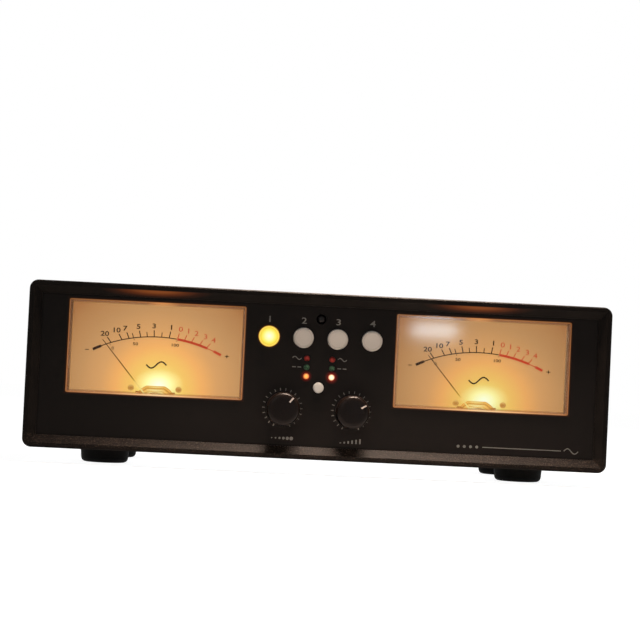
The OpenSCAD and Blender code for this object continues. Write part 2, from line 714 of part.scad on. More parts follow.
module board_spacers() color([0.75, 0.75, 0.72]) placed() {
    for (p = spacer_places) translate([p[0], 0, p[1]]) {
        hex_post(2.9, panel_back, board_front);
        rod(1.5, board_front - 0.1, board_back + 1.6);
        rod(2.6, board_back, board_back + 1.6);
    }
    for (x = main_post_xs, y = main_post_ys) translate([x, y, 0]) {
        translate([0, 0, floor_z]) cylinder(r = 2.9, h = main_board_low - floor_z, $fn = 6);
        translate([0, 0, main_board_low - 0.1]) cylinder(r = 1.5, h = board_t + 1.7);
        translate([0, 0, main_board_top]) cylinder(r = 2.6, h = 1.6);
    }
}

module hex_post(r, front, back) translate([0, front, 0]) rotate([-90, 0, 0])
    cylinder(r = r, h = back - front, $fn = 6);

// Depths of a button: its stem runs into the switch on the control board.
switch_front = board_front - switch_h;
collar_front = panel_back + seat;

module button(x, z, d, front) placed() translate([x, 0, z]) {
    r = d / 2;
    turned([[0, front], [r - 0.5, front], [r, front + 0.5], [r, collar_front],
            [r + 0.7, collar_front], [r + 0.7, collar_front + collar_t],
            [stem_r, collar_front + collar_t], [stem_r, board_front - button_travel - 2 * slip],
            [0, board_front - button_travel - 2 * slip]]);
}

module selector_button(i) color(i == 1 ? [0.99, 0.8, 0.2] : [0.68, 0.63, 0.57])
    button(button_places[i - 1], button_z, button_d, panel_front - button_proud);

module small_button() color([0.78, 0.74, 0.68])
    button(0, small_button_z, small_button_d, panel_front - button_proud);

module button_switches() color([0.12, 0.12, 0.13]) placed() {
    for (x = button_places) translate([x, 0, button_z]) push_switch(7.4);
    translate([0, 0, small_button_z]) push_switch(5.8);
}

module push_switch(w) difference() {
    slab(switch_front, board_front) square([w, w], center = true);
    rod(stem_r + slip, switch_front - cut, board_front + cut);
}

module potentiometers() color([0.55, 0.56, 0.58]) placed() for (s = sides) translate([s * knob_x, 0, knob_z])
    difference() {
        union() {
            rod(bush_r, panel_front - bush_nut_t - 1, panel_back + 0.4);
            rod(pot_r, panel_back, board_front);
        }
        rod(shaft_d / 2 + running, front_reach, board_front - 2);
    }

// An indicator lamp: a domed case with a rim, on two legs.
module led(x, z) placed() translate([x, 0, z]) {
    r = led_d / 2;
    intersection() {
        translate([0, panel_front + r - 0.8, 0]) sphere(r);
        rod(r + cut, panel_front - r - cut, panel_front + r - 0.8);
    }
    rod(r, panel_front + r - 0.8, board_front - 3);
    rod(r + 0.35, board_front - 4, board_front - 3);
    for (leg = [-0.8, 0.8]) translate([leg - 0.25, board_front - 3.1, -0.25]) cube([0.5, 3.1, 0.5]);
}

module red_leds() color([0.75, 0.12, 0.13]) for (s = sides) led(s * led_x, led_z);
module green_leds() color([0.12, 0.33, 0.17]) for (s = sides) led(s * led_x, led_z - led_spacing);
module amber_leds() color([1, 0.62, 0.3]) for (s = sides) led(s * led_x, led_z - 2 * led_spacing);

sensor_dome_depth = panel_front + 0.2;
module remote_sensor() color([0.02, 0.02, 0.022]) placed() translate([0, 0, sensor_z]) {
    r = sensor_d / 2;
    intersection() {
        translate([0, sensor_dome_depth + r, 0]) sphere(r);
        rod(r + cut, sensor_dome_depth - cut, sensor_dome_depth + r);
    }
    rod(r, sensor_dome_depth + r, board_front - 3);
    rod(r + 0.4, board_front - 4, board_front - 3);
    for (leg = [-1.2, 1.2]) translate([leg - 0.25, board_front - 3.1, -0.25]) cube([0.5, 3.1, 0.5]);
}

module sensor_grommet() color([0.06, 0.06, 0.06]) placed() translate([0, 0, sensor_z]) difference() {
    rod(sensor_d / 2 + 1.6, panel_back, panel_back + 2.2);
    rod(sensor_d / 2 + running, panel_back - cut, panel_back + 3);
}

knob_front = panel_front - knob_gap - knob_h;
knob_back = panel_front - knob_gap;
knob_chamfer = 0.8;
line_w = 0.9;
line_depth = 0.3;
knob_recess_r = bush_nut_r + 0.8;
knob_recess = bush_nut_t + 1.4;
shaft_front = knob_front + 2.5;
shaft_flat = 1.5;

// Knob with a chamfered cap, a groove for the pointer line and a bore for the flatted shaft.
module knob(s, angle) color([0.03, 0.03, 0.03]) placed() translate([s * knob_x, 0, knob_z])
    rotate([0, angle, 0]) difference() {
        r = knob_d / 2;
        turned([[0, knob_front], [r - knob_chamfer, knob_front], [r, knob_front + knob_chamfer],
                [r, knob_back], [knob_recess_r, knob_back], [knob_recess_r, knob_back - knob_recess],
                [0, knob_back - knob_recess]]);
        translate([-line_w / 2, knob_front - cut, r * 0.54]) cube([line_w, cut + line_depth, r * 0.54]);
        difference() {
            rod(shaft_d / 2, shaft_front, knob_back);
            translate([-shaft_d, shaft_front - cut, shaft_d / 2 - shaft_flat])
                cube([2 * shaft_d, flat_back - shaft_front + cut, shaft_d]);
        }
    }

flat_back = knob_back - knob_recess;
module knob_shaft(s, angle) color([0.7, 0.7, 0.72]) placed() translate([s * knob_x, 0, knob_z])
    rotate([0, angle, 0]) difference() {
        rod(shaft_d / 2, shaft_front, board_front - 2 - seat);
        translate([-shaft_d, shaft_front - cut, shaft_d / 2 - shaft_flat])
            cube([2 * shaft_d, flat_back - shaft_front + cut, shaft_d]);
    }

module main_board() color([0.1, 0.32, 0.18]) placed() difference() {
    translate([main_board_left, main_board_back - main_board_d, main_board_low])
        cube([main_board_w, main_board_d, board_t]);
    for (x = main_post_xs, y = main_post_ys) translate([x, y, main_board_low - cut])
        cylinder(r = 1.7, h = board_t + 2 * cut);
}

relay_w = 12;
relay_d = 19;
relay_h = 10;
relay_inset = 12;
module relays() color([0.85, 0.5, 0.12]) placed() for (x = jack_xs)
    translate([x - relay_w / 2, main_board_back - main_board_d + relay_inset, main_board_top])
        cube([relay_w, relay_d, relay_h]);

jack_block_w = 13;
jack_block_d = 11;
jack_block_margin = 7;
module jack_housings() color([0.05, 0.05, 0.055]) placed() for (x = jack_xs)
    difference() {
        translate([x - jack_block_w / 2, main_board_back - jack_block_d, main_board_top])
            cube([jack_block_w, jack_block_d + rear_front - main_board_back - seat,
                  jack_height + jack_rise + jack_block_margin]);
        for (rise = [0, jack_rise]) translate([x, 0, jack_low + rise])
            rod(jack_d / 2 - slip, rear_front - barrel_root, rear_front + cut);
    }

jack_pin_r = 1.7;
module jack_barrels() color([0.83, 0.69, 0.36]) placed()
    for (x = jack_xs, rise = [0, jack_rise]) translate([x, 0, jack_low + rise]) difference() {
        union() {
            rod(jack_d / 2 - slip, rear_front - barrel_root, case_depth + slip);
            rod(jack_d / 2, case_depth + slip, case_depth + jack_length);
        }
        rod(jack_pin_r, case_depth, case_depth + jack_length + cut);
    }

power_jack_w = 9;
power_jack_d = 12;
power_jack_h = 11.5;
power_jack_bore = 9;
module power_jack() color([0.05, 0.05, 0.055]) placed() translate([power_jack_x, 0, power_jack_z])
    difference() {
        union() {
            translate([-power_jack_w / 2, main_board_back - power_jack_d, -power_jack_rise])
                cube([power_jack_w, power_jack_d + rear_front - main_board_back - seat, power_jack_h]);
            rod(power_jack_r - slip, rear_front - 1, case_depth);
        }
        difference() {
            rod(2.9, case_depth - power_jack_bore, case_depth + cut);
            rod(1, case_depth - power_jack_bore - cut, case_depth - 1);
        }
    }

rocker_depth = 4;                        // the rocker's axis lies this far inside the rear panel
rocker_face = 6.2;                       // distance of the rocker's two ends from its axis
rocker_dip = 1.2;
rocker_axis = case_depth - rocker_depth;
rocker_reach = rocker_h / 2 - 0.8;
switch_depth = 20;
switch_room = 14;
bezel_margin = 3.5;
bezel_t = 1.5;

// Body of the power switch: a snapped-in housing with a bezel outside the rear panel.
module power_switch() color([0.05, 0.05, 0.055]) placed() translate([switch_x, 0, switch_z]) difference() {
    union() {
        slab(case_depth - switch_depth, case_depth + 0.1)
            square([rocker_w + 2 * switch_wall, rocker_h + 2 * switch_wall], center = true);
        slab(case_depth, case_depth + bezel_t)
            rounded_rect(rocker_w + 2 * bezel_margin, rocker_h + 2 * bezel_margin, 1);
    }
    slab(case_depth - switch_room, case_depth + bezel_t + cut)
        square([rocker_w + 2 * slip, rocker_h + 1.2], center = true);
}

module power_rocker() color([0.04, 0.04, 0.045]) placed() translate([switch_x, rocker_axis, switch_z])
    rotate([-rocker_swing / 2, 0, 0]) rotate([90, 0, 90]) linear_extrude(rocker_w, center = true)
        polygon([[-2, -3], [-2, 3], [rocker_depth, rocker_reach], [rocker_face, rocker_reach],
                 [rocker_face - rocker_dip, 0], [rocker_face, -rocker_reach], [rocker_depth, -rocker_reach]]);

front_frame();
front_panel();
chassis_tray();
top_cover();
rear_panel();
foot(foot_xs[0], foot_ys[0]);  // foot_front_left
foot(foot_xs[1], foot_ys[0]);  // foot_front_right
foot(foot_xs[0], foot_ys[1]);  // foot_rear_left
foot(foot_xs[1], foot_ys[1]);  // foot_rear_right
foot_screws();
case_screws();
meter_clips();
panel_nuts();
meter_cover(left);  // meter_cover_left
meter_case(left);  // meter_case_left
dial_plate(left);  // dial_plate_left
lamp_shade(left);  // lamp_shade_left
yoke_ring(left);  // yoke_ring_left
movement_frame(left);  // movement_frame_left
moving_coil(left);  // moving_coil_left
pointer(left);  // pointer_left
meter_cover(right);  // meter_cover_right
meter_case(right);  // meter_case_right
dial_plate(right);  // dial_plate_right
lamp_shade(right);  // lamp_shade_right
yoke_ring(right);  // yoke_ring_right
movement_frame(right);  // movement_frame_right
moving_coil(right);  // moving_coil_right
pointer(right);  // pointer_right
core_magnets();
hairsprings();
meter_lamps();
dial_screws();
meter_terminals();
control_board();
board_spacers();
button_switches();
potentiometers();
red_leds();
green_leds();
amber_leds();
remote_sensor();
sensor_grommet();
selector_button(1);  // selector_button_1
selector_button(2);  // selector_button_2
selector_button(3);  // selector_button_3
selector_button(4);  // selector_button_4
small_button();
knob(left, left_knob_at);  // knob_left
knob(right, right_knob_at);  // knob_right
knob_shaft(left, left_knob_at);  // knob_shaft_left
knob_shaft(right, right_knob_at);  // knob_shaft_right
main_board();
relays();
jack_housings();
jack_barrels();
power_jack();
power_switch();
power_rocker();
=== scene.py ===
# %% [markdown]
# # A desktop audio switcher with two lit level meters
#
# The object is a low black box. Two moving-coil meters glow behind clear lenses, and between them
# sit four round selector buttons, six indicator lamps, a small button and two knobs.
# A CAD model already holds every part at its real size. This lesson gives those parts their
# surfaces: it keeps the ones whose shape is right, and turns finer ones with numpy where light
# shows every edge. Lengths are written in millimetres, counted as on the drawing: x to the right,
# depth back from the front of the frame, height up from the underside of the frame.

# %% Tools and the fixed frame
import math

import bpy
import numpy as np
from mathutils import Matrix, Vector


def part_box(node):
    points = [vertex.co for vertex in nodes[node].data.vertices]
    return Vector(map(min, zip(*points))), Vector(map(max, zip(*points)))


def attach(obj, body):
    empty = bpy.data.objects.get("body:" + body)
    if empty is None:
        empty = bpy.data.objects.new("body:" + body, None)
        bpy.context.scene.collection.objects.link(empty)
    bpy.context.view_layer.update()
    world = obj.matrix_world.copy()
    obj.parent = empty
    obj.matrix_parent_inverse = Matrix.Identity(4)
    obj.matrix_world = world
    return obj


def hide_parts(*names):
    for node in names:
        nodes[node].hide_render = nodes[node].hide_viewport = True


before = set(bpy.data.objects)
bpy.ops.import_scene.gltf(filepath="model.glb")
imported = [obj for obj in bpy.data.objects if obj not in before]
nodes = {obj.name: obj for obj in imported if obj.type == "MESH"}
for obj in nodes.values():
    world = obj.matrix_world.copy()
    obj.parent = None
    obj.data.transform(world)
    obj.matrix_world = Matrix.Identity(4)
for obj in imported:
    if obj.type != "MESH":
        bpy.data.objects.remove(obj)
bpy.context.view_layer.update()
MM = 0.001             # a millimetre in metres
frame_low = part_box("front_frame")[0]
ORIGIN = np.array([0.0, frame_low.y, frame_low.z])
print(f"{len(nodes)} CAD nodes, front of the frame at y = {frame_low.y:.4f} m")

# %% Measures that several cells share
PANEL = 4.0            # depth of the panel's front
WINDOW_W, WINDOW_H = 90.4, 48.1
WINDOW_TOP = 76.6
WINDOW_MID = WINDOW_TOP - WINDOW_H / 2
METER_X = 83.75        # a meter's centre, left or right of the middle
PIVOT = 23.5           # height of the pointers' pivots
BUTTON_XS = [-26.4, -8.8, 8.8, 26.4]
BUTTON_Z = 62.0
BUTTON_R = 5.2
LED_X = 6.5
LED_ZS = [51.6, 47.0, 42.4]
KNOB_X, KNOB_Z = 17.6, 25.3
SIDES = {"left": -1, "right": 1}
PRINT = 0.03           # thickness of printed ink
print(f"two windows of {WINDOW_W} by {WINDOW_H} mm")

# %% [markdown]
# ## Shapes from numpy
#
# A knob, a button, a lamp's dome and a rubber foot are all made on a lathe, so one function that
# carries a profile round an axis makes them all. Blender's Screw or Spin tools would do it too,
# but a grid of points worked out in one array operation is exact, quick and easy to read.
# Printed lines are a small rectangle carried along a path, which is the second function.


# %% Helpers for points and faces
def tidied(points, faces):
    """Drop repeated corners from faces, and points that no face uses."""
    faces = [tuple(dict.fromkeys(face)) for face in faces.tolist()]
    faces = [face for face in faces if len(face) > 2]
    used = np.unique(np.concatenate([np.array(face) for face in faces]))
    place = np.zeros(len(points), int)
    place[used] = np.arange(len(used))
    return points[used], [tuple(place[list(face)].tolist()) for face in faces]


def joined(parts):
    """Put several (points, faces) shapes in one, and count the faces' points on from the last."""
    points, faces, start = [], [], 0
    for part_points, part_faces in parts:
        points.append(part_points)
        faces += [tuple(corner + start for corner in face) for face in part_faces]
        start += len(part_points)
    return np.concatenate(points), faces


def moved(shape, x=0.0, depth=0.0, height=0.0):
    """Add one offset to every point of a shape."""
    return shape[0] + np.array([x, depth, height]), shape[1]


def rolled(shape, degrees):
    """Turn a shape about the depth axis, clockwise from the front:
    x' = x cos + height sin, height' = height cos - x sin."""
    c, s = math.cos(math.radians(degrees)), math.sin(math.radians(degrees))
    x, depth, height = shape[0].T
    return np.stack([x * c + height * s, depth, height * c - x * s], axis=-1), shape[1]


def bar(rings):
    """A closed bar from an array of rings of corners: four-sided faces between one ring and the
    next, and a cap at each end."""
    index = np.arange(rings.shape[0] * rings.shape[1]).reshape(rings.shape[:2])
    after = np.roll(index, -1, axis=1)
    faces = np.stack([index[:-1], after[:-1], after[1:], index[1:]], axis=-1).reshape(-1, 4)
    caps = [tuple(index[0][::-1].tolist()), tuple(index[-1].tolist())]
    return rings.reshape(-1, 3), [tuple(face) for face in faces.tolist()] + caps


# %% The lathe
def turned(profile, turns=96):
    """Carry a profile of (radius, depth) points once round the depth axis: x = radius sin(turn),
    height = radius cos(turn). A profile point on the axis becomes one pole."""
    radius, depth = np.asarray(profile, float).T
    turn = np.linspace(0, 2 * np.pi, turns, endpoint=False)
    grid = np.stack(np.broadcast_arrays(
        radius[:, None] * np.sin(turn), depth[:, None], radius[:, None] * np.cos(turn)), axis=-1)
    index = np.arange(len(radius) * turns).reshape(len(radius), turns)
    index[radius < 1e-6] = index[radius < 1e-6][:, :1]
    after = np.roll(index, -1, axis=1)
    faces = np.stack([index[:-1], index[1:], after[1:], after[:-1]], axis=-1).reshape(-1, 4)
    return tidied(grid.reshape(-1, 3), faces)


def softened(corners, radius, steps=8):
    """Round the inner corners of a path. Each gives way to the curve
    (1-t)^2 start + 2t(1-t) corner + t^2 end, which starts and ends 'radius' from the corner."""
    corners = np.asarray(corners, float)
    radius = np.broadcast_to(radius, len(corners) - 2)[:, None]
    before, here, after = corners[:-2], corners[1:-1], corners[2:]
    start = here + (before - here) / np.linalg.norm(before - here, axis=1, keepdims=True) * radius
    end = here + (after - here) / np.linalg.norm(after - here, axis=1, keepdims=True) * radius
    t = np.linspace(0, 1, steps)[None, :, None]
    curve = (1 - t) ** 2 * start[:, None] + 2 * t * (1 - t) * here[:, None] + t**2 * end[:, None]
    return np.concatenate([corners[:1], curve.reshape(-1, 2), corners[-1:]])


print("a turned disc has", len(turned([[0, 0], [1, 0], [1, 1], [0, 1]])[1]), "faces")


# %% Printed lines
def line_along(xs, heights, width, depth, thick=PRINT):
    """Carry a rectangle of ink along a path in the front plane. At each point it stands across the
    path, half its width to each side, from 'thick' in front of the depth to just behind."""
    path = np.stack([np.asarray(xs, float), np.asarray(heights, float)], axis=-1)
    along = np.gradient(path, axis=0)
    along /= np.linalg.norm(along, axis=1, keepdims=True)
    across = np.stack([along[:, 1], -along[:, 0]], axis=-1) * np.asarray(width).reshape(-1, 1) / 2
    front, back = depth - thick, depth + thick / 2
    edges = [(path + across, front), (path - across, front), (path - across, back),
             (path + across, back)]
    return bar(np.stack([np.stack([edge[:, 0], np.full(len(edge), level), edge[:, 1]], axis=-1)
                         for edge, level in edges], axis=1))


def disc_print(x, height, radius):
    """A round dot of ink on the panel: a short turned cylinder."""
    front, back = PANEL - PRINT, PANEL + PRINT / 2
    dot = turned([[0, front], [radius, front], [radius, back], [0, back]], turns=24)
    return moved(dot, x, 0, height)


LETTER_WIDE = 1.3      # the printed letters are wider than the font's


def glyphs(text, tall, x, height, depth, bold=0.012):
    """Letters or numbers from Blender's own font, made a mesh, scaled to a height in millimetres
    and stood up in the front plane: (x, y, z) of the flat text becomes (x, -z, y)."""
    curve = bpy.data.curves.new("writing", "FONT")
    curve.body, curve.size, curve.extrude, curve.resolution_u = text, 1.0, 0.5, 3
    curve.offset = bold
    writer = bpy.data.objects.new("writing", curve)
    bpy.context.scene.collection.objects.link(writer)
    mesh = bpy.data.meshes.new_from_object(
        writer.evaluated_get(bpy.context.evaluated_depsgraph_get()))
    flat = np.empty(len(mesh.vertices) * 3)
    mesh.vertices.foreach_get("co", flat)
    faces = [tuple(p.vertices) for p in mesh.polygons]
    bpy.data.objects.remove(writer)
    bpy.data.curves.remove(curve)
    bpy.data.meshes.remove(mesh)
    px, py, pz = flat.reshape(-1, 3).T
    scale = tall / np.ptp(py)
    px = (px - px.min() - np.ptp(px) / 2) * scale * LETTER_WIDE + x
    py = (py - py.min() - np.ptp(py) / 2) * scale + height
    return np.stack([px, np.where(pz > 0, depth - PRINT, depth + PRINT / 2), py], axis=-1), faces


# %% Making the object itself
SHARP = math.radians(35)               # an edge that turns further than this stays sharp


def make_piece(name, shape, material, body, stands_for=()):
    """Turn a shape in drawing millimetres into a finished object in metres that rides on a body."""
    points, faces = shape
    mesh = bpy.data.meshes.new(name)
    mesh.from_pydata((points * MM + ORIGIN).tolist(), [], faces)
    mesh.validate()
    mesh.materials.append(material)
    mesh.shade_smooth()
    mesh.set_sharp_from_angle(angle=SHARP)
    piece = bpy.data.objects.new(name, mesh)
    bpy.context.scene.collection.objects.link(piece)
    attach(piece, body)
    if stands_for:
        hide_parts(*stands_for)
    print(f"{name}: {len(mesh.polygons)} faces on {body}")


# %% [markdown]
# ## Materials
#
# Each finish is a Principled shader with patterns that read Object coordinates, so a pattern has
# a real size in metres and stays put when a part moves. A noise of fine grain makes the bump and
# a wider, fainter one lets the colour and the gloss wander a little, as they do on real parts.


# %% Nodes in a few words
def new_finish(name, colour, roughness, metallic=0.0, specular=0.5):
    """A Principled material with its plain values on the shader's own sockets."""
    mat = bpy.data.materials.new(name)
    mat.use_nodes = True
    shader = principled(mat)
    shader.inputs["Base Color"].default_value = (*colour, 1)
    shader.inputs["Roughness"].default_value = roughness
    shader.inputs["Metallic"].default_value = metallic
    shader.inputs["Specular IOR Level"].default_value = specular
    mat.diffuse_color = (*colour, 1)
    return mat


def principled(mat):
    """The material's own shader."""
    return mat.node_tree.nodes["Principled BSDF"]


def add(mat, kind, **values):
    """Add a node and set its attributes or, by name, its sockets."""
    node = mat.node_tree.nodes.new(kind)
    for key, value in values.items():
        if hasattr(node, key):
            setattr(node, key, value)
        else:
            node.inputs[key.replace("_", " ")].default_value = value
    return node


def wire(mat, source, target):
    """Join two sockets."""
    mat.node_tree.links.new(source, target)


def object_point(mat):
    """The Object coordinates of the shaded point."""
    return add(mat, "ShaderNodeTexCoord").outputs["Object"]


def math_node(mat, operation, first, second=0.0):
    """One Math node, whose inputs are sockets or numbers."""
    node = add(mat, "ShaderNodeMath", operation=operation)
    for socket, value in zip(node.inputs, (first, second)):
        if isinstance(value, (int, float)):
            socket.default_value = value
        else:
            wire(mat, value, socket)
    return node.outputs[0]


def mixed(mat, kind, first, second):
    """Two colour sockets through one Mix node."""
    node = add(mat, "ShaderNodeMix", data_type="RGBA", blend_type=kind)
    node.inputs["Factor"].default_value = 1.0
    wire(mat, first, node.inputs[6])
    wire(mat, second, node.inputs[7])
    return node.outputs[2]


def ramp(mat, factor, stops):
    """A colour ramp with stops of (position, colour)."""
    node = add(mat, "ShaderNodeValToRGB")
    elements = node.color_ramp.elements
    while len(elements) < len(stops):
        elements.new(0.5)
    for element, (position, colour) in zip(elements, stops):
        element.position = position
        element.color = (*colour, 1)
    wire(mat, factor, node.inputs["Fac"])
    return node.outputs["Color"]


DARK = (0, 0, 0)


def greys(*stops):
    """Stops of (position, brightness) for a ramp without colour."""
    return [(position, (value,) * 3) for position, value in stops]


# %% A finish with grain
NOISE_LOW, NOISE_HIGH = 0.3, 0.7       # Blender's noise mostly lies between these two


def noise(mat, size_mm, detail=3.0, stretch=(1, 1, 1)):
    """Noise whose blotches are about size_mm across."""
    mapping = add(mat, "ShaderNodeMapping", Scale=stretch)
    wire(mat, object_point(mat), mapping.inputs["Vector"])
    texture = add(mat, "ShaderNodeTexNoise", Scale=1 / (size_mm * MM), Detail=detail)
    wire(mat, mapping.outputs["Vector"], texture.inputs["Vector"])
    return texture.outputs["Fac"]


def bumped(mat, height, rise_mm, strength=1.0):
    """Let a pattern raise the surface by up to rise_mm."""
    bump = add(mat, "ShaderNodeBump", Strength=strength, Distance=rise_mm * MM)
    wire(mat, height, bump.inputs["Height"])
    wire(mat, bump.outputs["Normal"], principled(mat).inputs["Normal"])


def grained(name, colour, roughness, metallic=0.0, specular=0.5, grain_mm=0.4, bump_mm=0.01,
            wander=0.12, blotch_mm=25.0, stretch=(1, 1, 1)):
    """The plain recipe: fine bump, and a colour and roughness that wander by a share."""
    mat = new_finish(name, colour, roughness, metallic, specular)
    shader = principled(mat)
    dark, light = ([c * (1 + s * wander) for c in colour] for s in (-1, 1))
    blotches = ramp(mat, noise(mat, blotch_mm, detail=4.0),
                    [(NOISE_LOW, dark), (NOISE_HIGH, light)])
    wire(mat, blotches, shader.inputs["Base Color"])
    grain = noise(mat, grain_mm, stretch=stretch)
    gloss = add(mat, "ShaderNodeMapRange", From_Min=NOISE_LOW, From_Max=NOISE_HIGH,
                To_Min=roughness * (1 - wander), To_Max=roughness * (1 + wander))
    wire(mat, grain, gloss.inputs["Value"])
    wire(mat, gloss.outputs["Result"], shader.inputs["Roughness"])
    bumped(mat, grain, bump_mm)
    return mat


# %% [markdown]
# The frame is machined aluminium, sandblasted and coated black. The panel is smoother and quite
# matt. The folded cover has the orange-peel of powder paint. All three are nearly black, so their
# specular level is kept low: a white room would otherwise grey them.

# %% Finishes of the case
frame_black = grained("frame_black", (0.0034, 0.0026, 0.0021), 0.4, specular=0.028,
                      grain_mm=0.6, bump_mm=0.09, wander=0.3, blotch_mm=12)
panel_black = grained("panel_black", (0.0055, 0.0047, 0.0043), 0.6, specular=0.03,
                      grain_mm=0.25, bump_mm=0.006, wander=0.1, blotch_mm=40)
cover_black = grained("cover_black", (0.012, 0.0115, 0.011), 0.5, specular=0.2,
                      grain_mm=0.9, bump_mm=0.05, wander=0.15, blotch_mm=60)
tray_zinc = grained("tray_zinc", (0.52, 0.53, 0.54), 0.38, metallic=1.0, grain_mm=1.2,
                    bump_mm=0.004, wander=0.12, blotch_mm=9, stretch=(0.15, 1, 1))
rubber_black = grained("rubber_black", (0.004, 0.0035, 0.003), 0.75, specular=0.06,
                       grain_mm=0.5, bump_mm=0.015, wander=0.15)
bright_zinc = grained("bright_zinc", (0.6, 0.6, 0.62), 0.3, metallic=1.0,
                      grain_mm=0.3, bump_mm=0.003, wander=0.15, blotch_mm=3)
black_oxide = grained("black_oxide", (0.03, 0.03, 0.032), 0.42, metallic=0.6, specular=0.3,
                      grain_mm=0.3, bump_mm=0.006, wander=0.2, blotch_mm=2)
print(len(bpy.data.materials), "finishes so far")

# %% Finishes of the parts inside
moulded_black = grained("moulded_black", (0.014, 0.014, 0.015), 0.4, specular=0.3,
                        grain_mm=0.4, bump_mm=0.008, wander=0.15)
board_green = grained("board_green", (0.03, 0.16, 0.07), 0.35, grain_mm=0.8, bump_mm=0.01,
                      wander=0.25, blotch_mm=6)
BRASS = (0.74, 0.55, 0.22)
brass_yellow = grained("brass_yellow", BRASS, 0.28, metallic=1.0,
                       grain_mm=0.25, bump_mm=0.003, wander=0.14, blotch_mm=3)
MOVEMENT = {"brass_lit": (BRASS, 0.3), "copper_lit": ((0.66, 0.3, 0.12), 0.35),
            "iron_lit": ((0.28, 0.27, 0.27), 0.5)}
brass_lit, copper_lit, iron_lit = [
    grained(name, colour, roughness, metallic=1.0, grain_mm=0.25, bump_mm=0.004, wander=0.15,
            blotch_mm=3) for name, (colour, roughness) in MOVEMENT.items()]
relay_orange = grained("relay_orange", (0.62, 0.25, 0.04), 0.3, grain_mm=0.8, bump_mm=0.004)
case_ivory = grained("case_ivory", (0.62, 0.54, 0.4), 0.5, grain_mm=0.5, bump_mm=0.006)
print(len(bpy.data.materials), "finishes so far")


# %% [markdown]
# ## Light inside the meters
#
# A small lamp behind each dial makes the paper glow: nearly white beside the lamp, then yellow,
# orange and tan towards the corners. A real lamp behind thin paper takes many samples to render,
# so the dial's own shader gives off the light instead, by its distance from the lamp. The same
# trick lights the movement and the edge of the clear cover, where light that has travelled in the
# plastic comes out.

# %% Glow by distance
def give_off(mat, colour, strength=1.0):
    """Let a finish give off light of a colour, which is a socket or three plain numbers."""
    shader = principled(mat)
    if isinstance(colour, tuple):
        shader.inputs["Emission Color"].default_value = (*colour, 1)
    else:
        wire(mat, colour, shader.inputs["Emission Color"])
    shader.inputs["Emission Strength"].default_value = strength


def distance_from(mat, centre_mm, reach_mm, reach_up_mm=None):
    """Distance in the front plane from a point of the drawing: 0 at the point and 1 at the reach,
    which may differ upwards. The Mapping node moves the point to the origin, scales the two
    directions and flattens the depth, before the length is taken."""
    centre = np.array(centre_mm) * MM + ORIGIN
    across, up = 1 / (reach_mm * MM), 1 / ((reach_up_mm or reach_mm) * MM)
    mapping = add(mat, "ShaderNodeMapping", Scale=(across, 0, up),
                  Location=(-centre[0] * across, 0, -centre[2] * up))
    wire(mat, object_point(mat), mapping.inputs["Vector"])
    length = add(mat, "ShaderNodeVectorMath", operation="LENGTH")
    wire(mat, mapping.outputs["Vector"], length.inputs[0])
    return length.outputs["Value"]


def past(mat, axis, measure_mm):
    """How far a point lies past a measure of the drawing along an axis, in metres."""
    split = add(mat, "ShaderNodeSeparateXYZ")
    wire(mat, object_point(mat), split.inputs[0])
    start = float(ORIGIN["XYZ".index(axis)])
    return math_node(mat, "SUBTRACT", split.outputs[axis], start + measure_mm * MM)


def between(mat, axis, first_mm, last_mm, fade_mm=0.3):
    """1 between two measures of the drawing along an axis and 0 outside, with soft ends."""
    ends = []
    for end, sign in ((first_mm, 1), (last_mm, -1)):
        step = math_node(mat, "MULTIPLY", past(mat, axis, end), sign / (fade_mm * MM))
        ends.append(ramp(mat, step, greys((0, 0), (1, 1))))
    return mixed(mat, "MULTIPLY", *ends)


def spill(mat, lights, masks=(), strength=1.0):
    """Let a finish give off what lamps throw on it. Each light is (centre, reach across, reach up,
    ramp stops) and the colours are summed. A mask is (axis, first, last): outside it stays dark."""
    parts = [ramp(mat, distance_from(mat, centre, across, up), stops)
             for centre, across, up, stops in lights]
    total = parts[0]
    for part in parts[1:]:
        total = mixed(mat, "ADD", total, part)
    for mask in masks:
        total = mixed(mat, "MULTIPLY", total, between(mat, *mask))
    give_off(mat, total, strength)


# %% The lamps and the dials
DIAL_GLOW = [(0, (1, 0.98, 0.72)), (0.07, (0.98, 0.93, 0.42)), (0.12, (0.97, 0.84, 0.25)),
             (0.17, (0.97, 0.71, 0.165)), (0.23, (0.96, 0.59, 0.135)), (0.37, (0.93, 0.45, 0.13)),
             (0.5, (0.7, 0.36, 0.13)), (0.7, (0.54, 0.285, 0.11)), (0.9, (0.45, 0.215, 0.077)),
             (1, (0.38, 0.16, 0.052))]
BESIDE_LAMP = [(0, (0.15, 0.25, 0.35)), (0.45, (0.14, 0.22, 0.18)), (1, DARK)]
DIAL_STRENGTH = {"left": 1.21, "right": 1.08}
LAMP_SHIFT = {"left": 2.0, "right": 2.4}   # the lamps sit a little right of the pivots
LAMP_Z = WINDOW_TOP - 44.5
LAMP_REACH = 60


def lamp_place(side):
    """Where the lamp behind the dial is brightest."""
    return SIDES[side] * METER_X + LAMP_SHIFT[side], 0, LAMP_Z


def dial_paper(side):
    """Printed card, lit from the lamp beside the pivot. Its fibres are a fine bump."""
    mat = new_finish(f"dial_paper_{side}", (0.06, 0.04, 0.02), 0.7, specular=0.05)
    x, depth, height = lamp_place(side)
    spill(mat, [((x, depth, height), LAMP_REACH, None, DIAL_GLOW),
                ((x, depth, height + 3.2), 13, 7.5, BESIDE_LAMP)], strength=DIAL_STRENGTH[side])
    bumped(mat, noise(mat, 0.5, detail=4.0), 0.004, strength=0.5)
    return mat


print("the left lamp is brightest at", lamp_place("left"))
